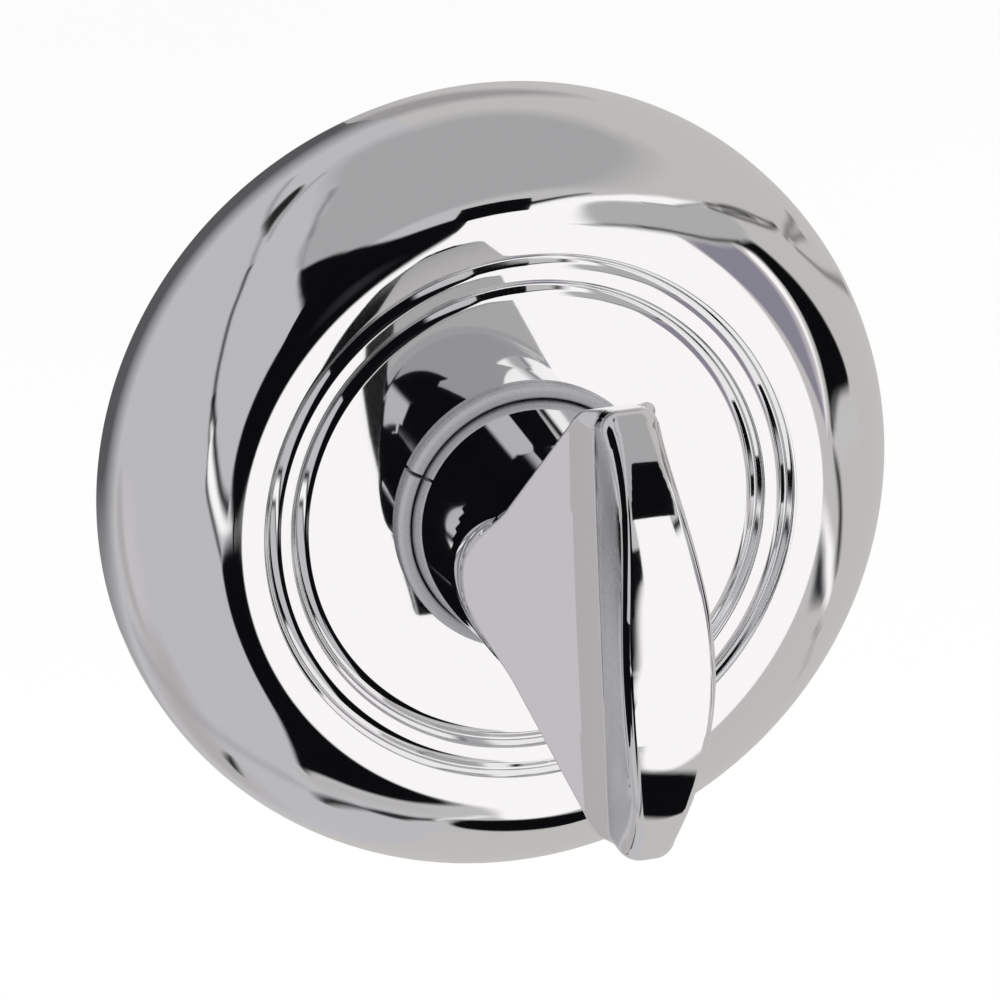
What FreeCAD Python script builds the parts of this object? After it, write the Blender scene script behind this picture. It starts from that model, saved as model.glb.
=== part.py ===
import FreeCAD, Part
import math
import os
import Sketcher

# Bathroom thumb turn on a round rose: the inner half of a turn-and-release set.
# Frame: the door face is the plane y = 0, the turn's axis is Y, the front of the rose looks along -Y,
# and +Z is up. A depth is a distance out from the door face, so a point at depth 10 has y = -10.
# The blade stands upright at rest.

doc = FreeCAD.newDocument("thumb_turn_set")
Vector = FreeCAD.Vector

# Driving dimensions, millimetres and degrees
SIZES = [
    # cover rose
    ("rose_radius", 26.0),
    ("rose_shoulder_run", 7.2),
    ("rose_crest_depth", 9.8),
    ("rose_rim_height", 0.8),
    ("rose_shoulder_radius", 5.2),
    ("rose_wall", 1.2),
    ("flank_run", 1.5),
    ("flank_fall", 0.06),
    ("riser_run", 0.2),
    ("outer_riser_height", 0.44),
    ("ledge_width", 1.9),
    ("inner_riser_height", 0.4),
    ("cover_lip_gap", 0.4),
    ("cover_lip_height", 1.4),
    # grey bush in the centre hole of the cover
    ("collar_wall", 0.44),
    ("collar_brim", 0.35),
    ("collar_height", 0.9),
    ("collar_round", 0.45),
    ("snap_bead", 0.25),
    ("collar_barrel_reach", 1.9),
    ("collar_split", 0.5),
    ("collar_split_angle", 152.0),
    # turn: neck and shank
    ("neck_radius", 7.4),
    ("neck_flare", 0.5),
    ("shoulder_width", 1.4),
    ("shank_end_depth", -1.6),
    ("shank_chamfer", 0.4),
    ("socket_depth", 14.0),
    # turn: blade
    ("neck_reach", 9.1),
    ("wing_run", 11.4),
    ("end_run", 3.4),
    ("front_rise", 6.3),
    ("heel_height", 13.8),
    ("end_rise", 0.8),
    ("heel_half_width", 2.45),
    ("side_draft", 24.0),
    ("fold_run", 1.6),
    ("front_swell", 0.3),
    ("front_inset", 1.1),
    ("front_tip_width", 0.8),
    ("front_fillet", 1.0),
    ("end_fillet", 0.8),
    ("wing_fillet", 0.35),
    # base plate
    ("plate_thickness", 2.2),
    ("rim_gap", 1.2),
    ("rim_wall", 2.0),
    ("rim_height", 4.8),
    ("rim_groove_depth", 1.0),
    ("hub_wall", 3.92),
    ("hub_height", 5.1),
    ("recess_gap", 0.6),
    ("rib_width", 1.6),
    ("rib_height", 4.0),
    ("bolt_spacing", 38.0),
    ("bolt_hole_radius", 2.2),
    ("bolt_boss_radius", 3.9),
    ("bolt_boss_height", 3.2),
    ("screw_circle_inset", 4.6),
    ("screw_circle_angle", 45.0),
    ("screw_boss_radius", 4.5),
    ("screw_boss_height", 2.9),
    # wood screws
    ("screw_head_radius", 3.4),
    ("screw_head_height", 2.3),
    ("screw_radius", 1.75),
    ("screw_length", 20.0),
    ("screw_point", 3.0),
    ("screw_point_radius", 0.4),
    ("recess_slot_length", 3.6),
    ("recess_slot_width", 0.9),
    ("recess_slot_depth", 1.5),
    # bearing and retaining parts
    ("bush_wall", 1.0),
    ("bush_flange_width", 1.14),
    ("bush_flange_thickness", 0.6),
    ("washer_thickness", 0.6),
    ("backing_washer_width", 2.68),
    ("backing_washer_thickness", 0.5),
    ("wave_washer_thickness", 0.3),
    ("wave_washer_width", 2.0),
    ("wave_washer_height", 0.9),
    ("circlip_inset", 0.2),
    ("circlip_thickness", 1.0),
    ("circlip_groove", 0.5),
    ("circlip_width", 1.9),
    ("circlip_gap", 50.0),
    ("circlip_lug_radius", 1.35),
    ("circlip_lug_hole", 0.6),
    # snap ring
    ("snap_wire_radius", 0.6),
    ("snap_ring_depth", 2.6),
    ("snap_ring_gap", 24.0),
    # spindle and what is on it
    ("spindle_side", 6.0),
    ("spindle_reach", 45.0),
    ("spindle_chamfer", 0.6),
    ("pin_radius", 1.25),
    ("pin_wall", 0.3),
    ("pin_rise", 1.7),
    ("pin_end_gap", 0.25),
    ("pin_slot", 0.4),
    ("sleeve_side", 8.0),
    ("sleeve_start", 10.0),
    ("sleeve_length", 20.0),
    # overrun of what is cut or trimmed away
    ("allowance", 1.0),
    # clearances
    ("turn_clearance", 0.06),
    ("seat_clearance", 0.02),
    ("socket_clearance", 0.03),
    ("hole_clearance", 0.25),
]

sheet = doc.addObject("Spreadsheet::Sheet", "Sizes")
for row, (alias, value) in enumerate(SIZES, start=1):
    sheet.set("A%d" % row, alias)
    sheet.set("B%d" % row, str(value))
    sheet.setAlias("B%d" % row, alias)
doc.recompute()
NEAR = 0.01


class Dim:
    """A length that carries its value and the sheet expression that drives it."""

    def __init__(self, value, text):
        self.value = value
        self.text = text

    def __add__(self, other):
        other = dim(other)
        return Dim(self.value + other.value, "(%s + %s)" % (self.text, other.text))

    def __sub__(self, other):
        other = dim(other)
        return Dim(self.value - other.value, "(%s - %s)" % (self.text, other.text))

    def __mul__(self, other):
        other = dim(other)
        return Dim(self.value * other.value, "(%s * %s)" % (self.text, other.text))

    def __truediv__(self, other):
        other = dim(other)
        return Dim(self.value / other.value, "(%s / %s)" % (self.text, other.text))

    def __neg__(self):
        return Dim(-self.value, "(-1 * %s)" % self.text)

    __radd__ = __add__
    __rmul__ = __mul__

    def __rsub__(self, other):
        return dim(other) - self


def dim(value):
    """Return a Dim: a plain number as it is, an alias as its cell in the sheet."""
    if isinstance(value, Dim):
        return value
    if isinstance(value, str):
        return Dim(float(sheet.get(value)), "Sizes.%s" % value)
    return Dim(float(value), repr(float(value)))


def tangent(angle):
    """The tangent of an angle in degrees."""
    return Dim(math.tan(math.radians(angle.value)), "tan(%s * 1 deg)" % angle.text)


def cosine(angle):
    """The cosine of an angle in degrees."""
    return Dim(math.cos(math.radians(angle.value)), "cos(%s * 1 deg)" % angle.text)


def root(value):
    """The square root of a length squared."""
    return Dim(math.sqrt(value.value), "sqrt(%s)" % value.text)


def sine(angle):
    """The sine of an angle in degrees."""
    return Dim(math.sin(math.radians(angle.value)), "sin(%s * 1 deg)" % angle.text)


def bind(obj, prop, value):
    """Drive one property of an object from the sheet."""
    obj.setExpression(prop, dim(value).text)


def place(obj, x=0, y=0, z=0, rotation=None):
    """Set an object's Placement, with its three coordinates driven from the sheet."""
    position = Vector(dim(x).value, dim(y).value, dim(z).value)
    obj.Placement = FreeCAD.Placement(position, rotation or FreeCAD.Rotation())
    for axis, value in (("x", x), ("y", y), ("z", z)):
        if isinstance(value, (Dim, str)):
            bind(obj, ".Placement.Base.%s" % axis, value)


# Sketches
FRONT = FreeCAD.Rotation(Vector(1, 0, 0), 90)
SIDE = FreeCAD.Rotation(Vector(0, -1, 0), Vector(0, 0, 1), Vector(-1, 0, 0), "XYZ")
PLAN = FreeCAD.Rotation(Vector(1, 0, 0), Vector(0, -1, 0), Vector(0, 0, -1), "XYZ")


def new_body(name):
    """A body whose label is the name of its file."""
    body = doc.addObject("PartDesign::Body", name)
    body.Label = name
    return body


def attach(sketch, body, role):
    """Lay a sketch on one of its body's own origin planes."""
    plane = [feature for feature in body.Origin.OriginFeatures if feature.Role == role][0]
    sketch.AttachmentSupport = (plane, "")
    sketch.MapMode = "FlatFace"


def constrain(sketch, constraints):
    """Add all constraints in one go, so that nothing moves between them, then drive the dimensions."""
    numbers = sketch.addConstraint([constraint for constraint, value in constraints])
    for number, (constraint, value) in zip(numbers, constraints):
        if value is not None:
            sketch.setExpression("Constraints[%d]" % number, value.text)


def hold_point(geometry, position, x, y):
    """The two constraints that hold one point of a sketch element at driven coordinates."""
    held = []
    for kind, value in (("DistanceX", dim(x)), ("DistanceY", dim(y))):
        held.append((Sketcher.Constraint(kind, -1, 1, geometry, position, value.value), value))
    return held


def hold_radius(geometry, radius):
    """The constraint that drives the radius of an arc or a circle."""
    return [(Sketcher.Constraint("Radius", geometry, dim(radius).value), dim(radius))]


def arc_between(start, end, radius, side):
    """An arc from start to end, with its centre on the left of the way if side is 1 and on the right if -1.

    It is always drawn anticlockwise, so with its centre on the right it is drawn from end to start.
    """
    chord = end - start
    rise = math.sqrt(max(radius ** 2 - chord.Length ** 2 / 4, 0))
    left = Vector(-chord.y, chord.x, 0).normalize()
    centre = (start + end) * 0.5 + left * rise * side
    first, last = (start, end) if side > 0 else (end, start)
    angles = [math.atan2(point.y - centre.y, point.x - centre.x) for point in (first, last)]
    return Part.ArcOfCircle(Part.Circle(centre, Vector(0, 0, 1), radius), angles[0], angles[1])


def draw_outline(sketch, points):
    """Draw a closed outline. Each point is (x, y) or (x, y, radius, side) where an arc leads on from it."""
    corners = [Vector(dim(point[0]).value, dim(point[1]).value, 0) for point in points]
    first = sketch.GeometryCount
    ends = []
    for index, point in enumerate(points):
        start, end = corners[index], corners[(index + 1) % len(points)]
        if len(point) == 2:
            sketch.addGeometry(Part.LineSegment(start, end), False)
            ends.append((1, 2))
        else:
            sketch.addGeometry(arc_between(start, end, dim(point[2]).value, point[3]), False)
            ends.append((1, 2) if point[3] > 0 else (2, 1))
    constraints = []
    for index, point in enumerate(points):
        here, after = first + index, first + (index + 1) % len(points)
        following = ends[(index + 1) % len(points)][0]
        constraints.append((Sketcher.Constraint("Coincident", here, ends[index][1], after, following), None))
        constraints += hold_point(here, ends[index][0], point[0], point[1])
        if len(point) == 4:
            constraints += hold_radius(here, point[2])
    constrain(sketch, constraints)


def draw_radial_bar(sketch, angle, start, end, half_width):
    """Draw a bar along a ray from the axis, between two radii."""
    x, z = cosine(angle), sine(angle)
    draw_outline(sketch, [
        (x * start + z * half_width, z * start - x * half_width),
        (x * end + z * half_width, z * end - x * half_width),
        (x * end - z * half_width, z * end + x * half_width),
        (x * start - z * half_width, z * start + x * half_width),
    ])


def draw_circle(sketch, x, y, radius):
    """Draw a circle with a driven centre and radius."""
    centre = Vector(dim(x).value, dim(y).value, 0)
    index = sketch.addGeometry(Part.Circle(centre, Vector(0, 0, 1), dim(radius).value), False)
    constrain(sketch, hold_point(index, 3, x, y) + hold_radius(index, radius))


def body_sketch(body, name, role, offset=None):
    """A sketch on an origin plane of a body, moved out along the plane's normal by a driven offset."""
    sketch = body.newObject("Sketcher::SketchObject", name)
    attach(sketch, body, role)
    if offset is not None:
        bind(sketch, ".AttachmentOffset.Base.z", offset)
    return sketch


def lathe_profile(body, name, profile):
    """Draw a profile of (radius, depth) points in a plane through the turn's axis; y is minus the depth."""
    sketch = body_sketch(body, name + "_profile", "XY_Plane")
    outline = []
    for point in profile:
        arc = (point[2], -point[3]) if len(point) == 4 else ()
        outline.append((point[0], -dim(point[1])) + arc)
    draw_outline(sketch, outline)
    return sketch


def revolve(body, name, profile):
    """Revolve a profile of (radius, depth) points about the turn's axis."""
    sketch = lathe_profile(body, name, profile)
    feature = body.newObject("PartDesign::Revolution", name)
    feature.Profile = sketch
    feature.ReferenceAxis = (sketch, ["V_Axis"])
    feature.Angle = 360
    doc.recompute()
    return feature


def groove(body, name, profile):
    """Turn a groove of (radius, depth) points about the turn's axis."""
    sketch = lathe_profile(body, name, profile)
    feature = body.newObject("PartDesign::Groove", name)
    feature.Profile = sketch
    feature.ReferenceAxis = (sketch, ["V_Axis"])
    feature.Angle = 360
    doc.recompute()
    return feature


def pad(body, name, sketch, length):
    """Pad a sketch along its normal."""
    feature = body.newObject("PartDesign::Pad", name)
    feature.Profile = sketch
    bind(feature, "Length", length)
    doc.recompute()
    return feature


def pocket_through(body, name, sketch):
    """Cut a sketch right through, both ways, and make sure that it takes material away."""
    before = body.Shape.Volume
    feature = body.newObject("PartDesign::Pocket", name)
    feature.Profile = sketch
    feature.Type = "ThroughAll"
    feature.Midplane = True
    doc.recompute()
    if feature.Shape.Volume >= before:
        raise RuntimeError("%s cuts nothing" % name)
    return feature


def polar(body, name, features, count, sketch):
    """Repeat features about the turn's axis."""
    pattern = body.newObject("PartDesign::PolarPattern", name)
    pattern.Originals = features
    pattern.Axis = (sketch, ["N_Axis"])
    pattern.Angle = 360
    pattern.Occurrences = count
    body.Tip = pattern
    doc.recompute()
    return pattern


def boolean(kind, name, base, tool):
    """Part::Cut, Part::Fuse or Part::Common of two objects."""
    feature = doc.addObject(kind, name)
    feature.Base = base
    feature.Tool = tool
    doc.recompute()
    return feature


def cylinder(name, radius, low_depth, high_depth):
    """A cylinder on the turn's axis between two depths."""
    feature = doc.addObject("Part::Cylinder", name)
    bind(feature, "Radius", radius)
    bind(feature, "Height", dim(high_depth) - low_depth)
    place(feature, 0, -dim(low_depth), 0, FRONT)
    return feature


def box(name, width, height, low_depth, high_depth):
    """A box centred on the turn's axis between two depths."""
    feature = doc.addObject("Part::Box", name)
    bind(feature, "Length", width)
    bind(feature, "Width", height)
    bind(feature, "Height", dim(high_depth) - low_depth)
    place(feature, -dim(width) / 2, -dim(low_depth), -dim(height) / 2, FRONT)
    return feature


def free_sketch(name, rotation, x=0, y=0, z=0):
    """A sketch that stands by itself, for an extrusion or a loft."""
    sketch = doc.addObject("Sketcher::SketchObject", name)
    place(sketch, x, y, z, rotation)
    return sketch


def extrude(name, sketch, length):
    """Extrude a sketch both ways along its normal."""
    feature = doc.addObject("Part::Extrusion", name)
    feature.Base = sketch
    feature.DirMode = "Normal"
    feature.Solid = True
    feature.Symmetric = True
    bind(feature, "LengthFwd", length)
    doc.recompute()
    return feature


parts = []
allowance = dim("allowance")

# Cover rose: a pressed shell. The shoulder rises from the rim in a long arc, turns over a tighter arc
# to the crest and runs on nearly level to two small steps round the flat centre disc.
rose_radius = dim("rose_radius")
wall = dim("rose_wall")
rim_height = dim("rose_rim_height")
crest_depth = dim("rose_crest_depth")
small_arc = dim("rose_shoulder_radius")
shoulder_run = dim("rose_shoulder_run")
crest_radius = rose_radius - shoulder_run
shoulder_rise = crest_depth - rim_height
large_arc = (shoulder_run * shoulder_run + shoulder_rise * shoulder_rise
             - 2 * shoulder_rise * small_arc) / (2 * (shoulder_run - small_arc))
blend_share = small_arc / (large_arc - small_arc)
blend_radius = crest_radius + (crest_radius - (rose_radius - large_arc)) * blend_share
blend_depth = (crest_depth - small_arc) + (crest_depth - small_arc - rim_height) * blend_share
inner_blend_radius = blend_radius - (blend_radius - crest_radius) * wall / small_arc
inner_blend_depth = blend_depth - (blend_depth - (crest_depth - small_arc)) * wall / small_arc
rim_radius = rose_radius - wall - "rim_gap"
lip_radius = rim_radius + "cover_lip_gap"
lip_height = dim("cover_lip_height")
flank_run = dim("flank_run")
flank_fall = dim("flank_fall")
flank_arc = (flank_run * flank_run + flank_fall * flank_fall) / (2 * flank_fall)
riser_run = dim("riser_run")
step_radius = crest_radius - flank_run - riser_run
step_depth = crest_depth - flank_fall
ledge_depth = step_depth - "outer_riser_height"
disc_radius = step_radius - "ledge_width"
disc_depth = ledge_depth - "inner_riser_height"
neck_radius = dim("neck_radius")
turn_clearance = dim("turn_clearance")
foot_radius = neck_radius + "neck_flare"
collar_bore = foot_radius + turn_clearance
barrel_radius = collar_bore + "collar_wall"
centre_hole = barrel_radius + "seat_clearance"

cover = new_body("cover_rose")
revolve(cover, "cover_shell", [
    (rose_radius, 0),
    (rose_radius, rim_height, large_arc, 1),
    (blend_radius, blend_depth, small_arc, 1),
    (crest_radius, crest_depth, flank_arc, 1),
    (step_radius + riser_run, step_depth),
    (step_radius, ledge_depth),
    (disc_radius + riser_run, ledge_depth),
    (disc_radius, disc_depth),
    (centre_hole, disc_depth),
    (centre_hole, disc_depth - wall),
    (step_radius - riser_run, disc_depth - wall),
    (crest_radius, crest_depth - wall, small_arc - wall, -1),
    (inner_blend_radius, inner_blend_depth, large_arc - wall, -1),
    (rose_radius - wall, rim_height),
    (rose_radius - wall, 0),
])
lip_overlap = wall / 3
revolve(cover, "cover_lip", [
    (lip_radius, 0),
    (rose_radius - wall + lip_overlap, 0),
    (rose_radius - wall + lip_overlap, lip_height),
    (lip_radius, lip_height),
])
parts.append(cover)

# Grey bush: a split collar that snaps into the centre hole of the cover and lines it for the neck.
collar_radius = barrel_radius + "collar_brim"
collar_top = disc_depth + "collar_height"
barrel_end = disc_depth - "collar_barrel_reach"
collar_round = dim("collar_round")
snap_bead = dim("snap_bead")
bead_top = disc_depth - wall - "seat_clearance"

neck_bush = new_body("neck_bush")
revolve(neck_bush, "bush_ring", [
    (collar_bore, barrel_end),
    (barrel_radius, barrel_end),
    (barrel_radius + snap_bead, barrel_end + snap_bead),
    (barrel_radius + snap_bead, bead_top),
    (barrel_radius, bead_top),
    (barrel_radius, disc_depth),
    (collar_radius, disc_depth),
    (collar_radius, collar_top - collar_round, collar_round, 1),
    (collar_radius - collar_round, collar_top),
    (collar_bore + snap_bead, collar_top),
    (collar_bore, collar_top - snap_bead),
])
split_sketch = body_sketch(neck_bush, "bush_split_outline", "XZ_Plane")
draw_radial_bar(split_sketch, dim("collar_split_angle"), collar_bore - allowance,
                collar_radius + allowance, dim("collar_split") / 2)
pocket_through(neck_bush, "bush_split", split_sketch)
parts.append(neck_bush)

# Base plate: a zinc casting with a flat back, a hub for the bearing, a rim with a groove for the snap
# ring, bosses for two bolts and two wood screws, and ribs between hub and rim.
shank_radius = neck_radius - "shoulder_width"
bush_bore = shank_radius + turn_clearance
bush_outside = bush_bore + "bush_wall"
hub_bore = bush_outside + "seat_clearance"
plate = dim("plate_thickness")
rim_inside = rim_radius - "rim_wall"
rim_top = dim("rim_height")
hub_radius = hub_bore + "hub_wall"
hub_top = dim("hub_height")
washer_bore = shank_radius + dim("hole_clearance") / 2
backing_radius = washer_bore + "backing_washer_width"
recess_radius = backing_radius + "recess_gap"
clip_back = dim("circlip_inset")
clip_front = clip_back + "circlip_thickness"
backing_face = clip_front + "wave_washer_height"
recess_floor = backing_face + "backing_washer_thickness"
wire_radius = dim("snap_wire_radius")
ring_depth = dim("snap_ring_depth")
groove_half = wire_radius + "seat_clearance"
groove_floor = rim_radius - "rim_groove_depth"

base = new_body("base_plate")
revolve(base, "plate_disc", [
    (recess_radius, 0),
    (rim_radius, 0),
    (rim_radius, rim_top),
    (rim_inside, rim_top),
    (rim_inside, plate),
    (hub_radius, plate),
    (hub_radius, hub_top),
    (hub_bore, hub_top),
    (hub_bore, recess_floor),
    (recess_radius, recess_floor),
])

bolt_x = dim("bolt_spacing") / 2
bolt_hole = dim("bolt_hole_radius")
screw_angle = dim("screw_circle_angle")
screw_circle = rim_inside - "screw_circle_inset"
screw_x = screw_circle * cosine(screw_angle)
screw_z = screw_circle * sine(screw_angle)
screw_radius = dim("screw_radius")
screw_hole = screw_radius + "hole_clearance"
screw_boss_top = dim("screw_boss_height")
head_radius = dim("screw_head_radius")
head_height = dim("screw_head_height")

bolt_bosses = body_sketch(base, "bolt_boss_outline", "XZ_Plane", plate / 2)
for side in (1, -1):
    draw_circle(bolt_bosses, bolt_x * side, 0, "bolt_boss_radius")
pad(base, "bolt_bosses", bolt_bosses, dim("bolt_boss_height") - plate / 2)
screw_bosses = body_sketch(base, "screw_boss_outline", "XZ_Plane", plate / 2)
for side in (1, -1):
    draw_circle(screw_bosses, screw_x * side, screw_z * side, "screw_boss_radius")
pad(base, "screw_bosses", screw_bosses, screw_boss_top - plate / 2)

rib_half = dim("rib_width") / 2
rib_start, rib_end = hub_radius - allowance, rim_inside + allowance
ribs = []
for number, angle in enumerate((dim(90), screw_angle + 90)):
    rib_sketch = body_sketch(base, "rib_outline_%d" % (number + 1), "XZ_Plane", plate / 2)
    draw_radial_bar(rib_sketch, angle, rib_start, rib_end, rib_half)
    ribs.append(pad(base, "rib_%d" % (number + 1), rib_sketch, dim("rib_height") - plate / 2))
polar(base, "ribs", ribs, 2, rib_sketch)

holes = body_sketch(base, "hole_outline", "XZ_Plane")
for side in (1, -1):
    draw_circle(holes, bolt_x * side, 0, bolt_hole)
    draw_circle(holes, screw_x * side, screw_z * side, screw_hole)
pocket_through(base, "holes", holes)
for number, side in enumerate((1, -1)):
    countersink = base.newObject("PartDesign::SubtractiveCone", "countersink_%d" % (number + 1))
    bind(countersink, "Radius1", screw_hole)
    bind(countersink, "Radius2", head_radius + "hole_clearance")
    bind(countersink, "Height", head_height)
    place(countersink, screw_x * side, -(screw_boss_top - head_height), screw_z * side, FRONT)
    doc.recompute()
groove(base, "snap_ring_groove", [
    (groove_floor, ring_depth - groove_half),
    (rim_radius + allowance, ring_depth - groove_half),
    (rim_radius + allowance, ring_depth + groove_half),
    (groove_floor, ring_depth + groove_half),
])
parts.append(base)

# Snap ring: a bent wire that sits in the groove of the rim and springs out behind the cover's lip.
cover_inside = large_arc - wall
ring_reach = cover_inside - wire_radius - "seat_clearance"
ring_fall = ring_depth - rim_height
ring_radius = rose_radius - large_arc + root(ring_reach * ring_reach - ring_fall * ring_fall)
ring_gap = dim("snap_ring_gap")
snap_ring = doc.addObject("Part::Torus", "snap_ring")
snap_ring.Label = "cover_snap_ring"
bind(snap_ring, "Radius1", ring_radius)
bind(snap_ring, "Radius2", wire_radius)
bind(snap_ring, "Angle3", 360 - ring_gap)
half_turned = FreeCAD.Rotation(Vector(0, 0, 1), -90 + dim("snap_ring_gap").value / 2)
place(snap_ring, 0, -ring_depth, 0, FRONT.multiply(half_turned))
parts.append(snap_ring)

# Bearing bush: a flanged acetal sleeve in the hub; its flange carries the thrust washer.
flange_top = hub_top + "bush_flange_thickness"
bearing = new_body("bearing_bush")
revolve(bearing, "bearing_ring", [
    (bush_bore, recess_floor),
    (bush_outside, recess_floor),
    (bush_outside, hub_top),
    (bush_outside + "bush_flange_width", hub_top),
    (bush_outside + "bush_flange_width", flange_top),
    (bush_bore, flange_top),
])
parts.append(bearing)

# Washers: one under the neck's shoulder, one behind the bush.
shoulder = flange_top + "washer_thickness"
thrust = new_body("thrust_washer")
revolve(thrust, "thrust_ring", [
    (washer_bore, flange_top),
    (neck_radius, flange_top),
    (neck_radius, shoulder),
    (washer_bore, shoulder),
])
parts.append(thrust)
backing = new_body("backing_washer")
revolve(backing, "backing_ring", [
    (washer_bore, backing_face),
    (backing_radius, backing_face),
    (backing_radius, recess_floor),
    (washer_bore, recess_floor),
])
parts.append(backing)

# Wave washer: a thin ring bent into three waves, which press on the washer and on the circlip.
WAVES = 3
POINTS = 48
wave_inner = washer_bore.value
wave_outer = wave_inner + dim("wave_washer_width").value
wave_thickness = dim("wave_washer_thickness").value
wave_rise = (dim("wave_washer_height").value - wave_thickness) / 2
wave_middle = -(backing_face.value - dim("wave_washer_height").value / 2)


def wavy_circle(radius):
    """A closed smooth edge round the axis that rises and falls in even waves."""
    points = []
    for step in range(POINTS):
        turn = 2 * math.pi * step / POINTS
        height = wave_middle - wave_thickness / 2 + wave_rise * math.cos(WAVES * turn)
        points.append(Vector(radius * math.cos(turn), height, radius * math.sin(turn)))
    curve = Part.BSplineCurve()
    curve.interpolate(Points=points, PeriodicFlag=True)
    return curve.toShape()


wave_face = Part.makeRuledSurface(wavy_circle(wave_inner), wavy_circle(wave_outer))
wave_washer = doc.addObject("Part::Feature", "wave_washer")
wave_washer.Label = "wave_washer"
wave_washer.Shape = Part.Solid(wave_face.extrude(Vector(0, wave_thickness, 0)))
parts.append(wave_washer)

# Circlip: an open spring ring with two lugs, in the groove near the end of the shank.
clip_bore = shank_radius - "circlip_groove"
clip_inside = clip_bore + "seat_clearance"
clip_gap = dim("circlip_gap")
lug_radius = dim("circlip_lug_radius")
lug_circle = clip_inside + lug_radius
lug_angle = clip_gap / 2 - 90
clip_turn = FreeCAD.Rotation(Vector(0, 0, 1), -90 + clip_gap.value / 2)
clip_ring = cylinder("clip_ring", clip_inside + "circlip_width", clip_back, clip_front)
bind(clip_ring, "Angle", 360 - clip_gap)
clip_ring.Placement.Rotation = FRONT.multiply(clip_turn)
clip = clip_ring
for number, side in enumerate((1, -1)):
    lug = cylinder("clip_lug_%d" % (number + 1), lug_radius, clip_back, clip_front)
    place(lug, lug_circle * cosine(lug_angle) * side, -clip_back, lug_circle * sine(lug_angle), FRONT)
    clip = boolean("Part::Fuse", "clip_with_lug_%d" % (number + 1), clip, lug)
clip = boolean("Part::Cut", "clip_bored", clip, cylinder("clip_bore", clip_inside, clip_back, clip_front))
for number, side in enumerate((1, -1)):
    hole = cylinder("clip_hole_%d" % (number + 1), "circlip_lug_hole", clip_back, clip_front)
    place(hole, lug_circle * cosine(lug_angle) * side, -clip_back, lug_circle * sine(lug_angle), FRONT)
    clip = boolean("Part::Cut", "clip_drilled_%d" % (number + 1), clip, hole)
clip.Label = "circlip"
parts.append(clip)

# Thumb turn: one casting. The blade is what a fan, seen from the side, and a drafted bar, seen from the
# front, have in common. The neck tapers from its foot in the grey bush. The fan opens from the neck to
# the heels, slopes over its ends to the tips and closes in an arc. The bar's sides draw in from the neck
# to a fold past the heels and swell again into the boat-shaped front edge.
wing_root = disc_depth + "neck_reach"
heel_depth = wing_root + "wing_run"
tip_depth = heel_depth + "end_run"
front_rise = dim("front_rise")
apex = tip_depth + front_rise
heel_height = dim("heel_height")
tip_height = heel_height + "end_rise"
heel_half = dim("heel_half_width")
front_half = heel_half + "front_swell"
side_slope = tangent(dim("side_draft"))
fold_depth = heel_depth + "fold_run"
fold_half = heel_half - side_slope * "fold_run"
front_arc = (front_rise * front_rise + tip_height * tip_height) / (2 * front_rise)
shank_end = dim("shank_end_depth")

fan_start = wing_root + allowance
fan_start_height = heel_height * allowance / (heel_depth - wing_root)
fan_sketch = free_sketch("turn_fan_outline", SIDE)
draw_outline(fan_sketch, [
    (fan_start, fan_start_height),
    (fan_start, -fan_start_height),
    (heel_depth, -heel_height),
    (tip_depth, -tip_height, front_arc, 1),
    (tip_depth, tip_height),
    (heel_depth, heel_height),
])
fan = extrude("turn_fan", fan_sketch, neck_radius * 3)
core = new_body("turn_core")
revolve(core, "turn_neck_and_shank", [
    (0, shank_end),
    (shank_radius - "shank_chamfer", shank_end),
    (shank_radius, shank_end + "shank_chamfer"),
    (shank_radius, clip_back),
    (clip_bore, clip_back),
    (clip_bore, clip_front),
    (shank_radius, clip_front),
    (shank_radius, shoulder),
    (foot_radius, shoulder),
    (foot_radius, collar_top),
    (neck_radius, wing_root - allowance),
    (neck_radius, heel_depth),
    (0, heel_depth),
])
stem = boolean("Part::Fuse", "turn_stem", core, fan)

wide_half = neck_radius + allowance
draft_run = (wide_half - heel_half) / side_slope
wedge_sketch = free_sketch("turn_wedge_outline", PLAN)
draw_outline(wedge_sketch, [
    (-wide_half, shank_end - allowance),
    (wide_half, shank_end - allowance),
    (wide_half, heel_depth - draft_run),
    (fold_half, fold_depth),
    (-fold_half, fold_depth),
    (-wide_half, heel_depth - draft_run),
])
wedge = extrude("turn_wedge", wedge_sketch, tip_height * 3)
bar_length = tip_height + allowance
bar_foot = free_sketch("turn_bar_foot", FRONT, 0, -fold_depth, 0)
draw_outline(bar_foot, [
    (-fold_half, -bar_length),
    (fold_half, -bar_length),
    (fold_half, bar_length),
    (-fold_half, bar_length),
])
nose_length = tip_height - "front_inset"
nose_end = dim("front_tip_width") / 2
nose_swell = front_half - nose_end
nose_arc = (nose_swell * nose_swell + nose_length * nose_length) / (2 * nose_swell)
bar_nose = free_sketch("turn_bar_nose", FRONT, 0, -(apex + allowance), 0)
draw_outline(bar_nose, [
    (-nose_end, -nose_length),
    (nose_end, -nose_length, nose_arc, 1),
    (nose_end, nose_length),
    (-nose_end, nose_length, nose_arc, 1),
])
bar = doc.addObject("Part::Loft", "turn_bar")
bar.Sections = [bar_foot, bar_nose]
bar.Solid = True
bar.Ruled = True
doc.recompute()
keel = boolean("Part::Fuse", "turn_keel", wedge, bar)
blade = boolean("Part::Common", "turn_blade", stem, keel)

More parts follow.
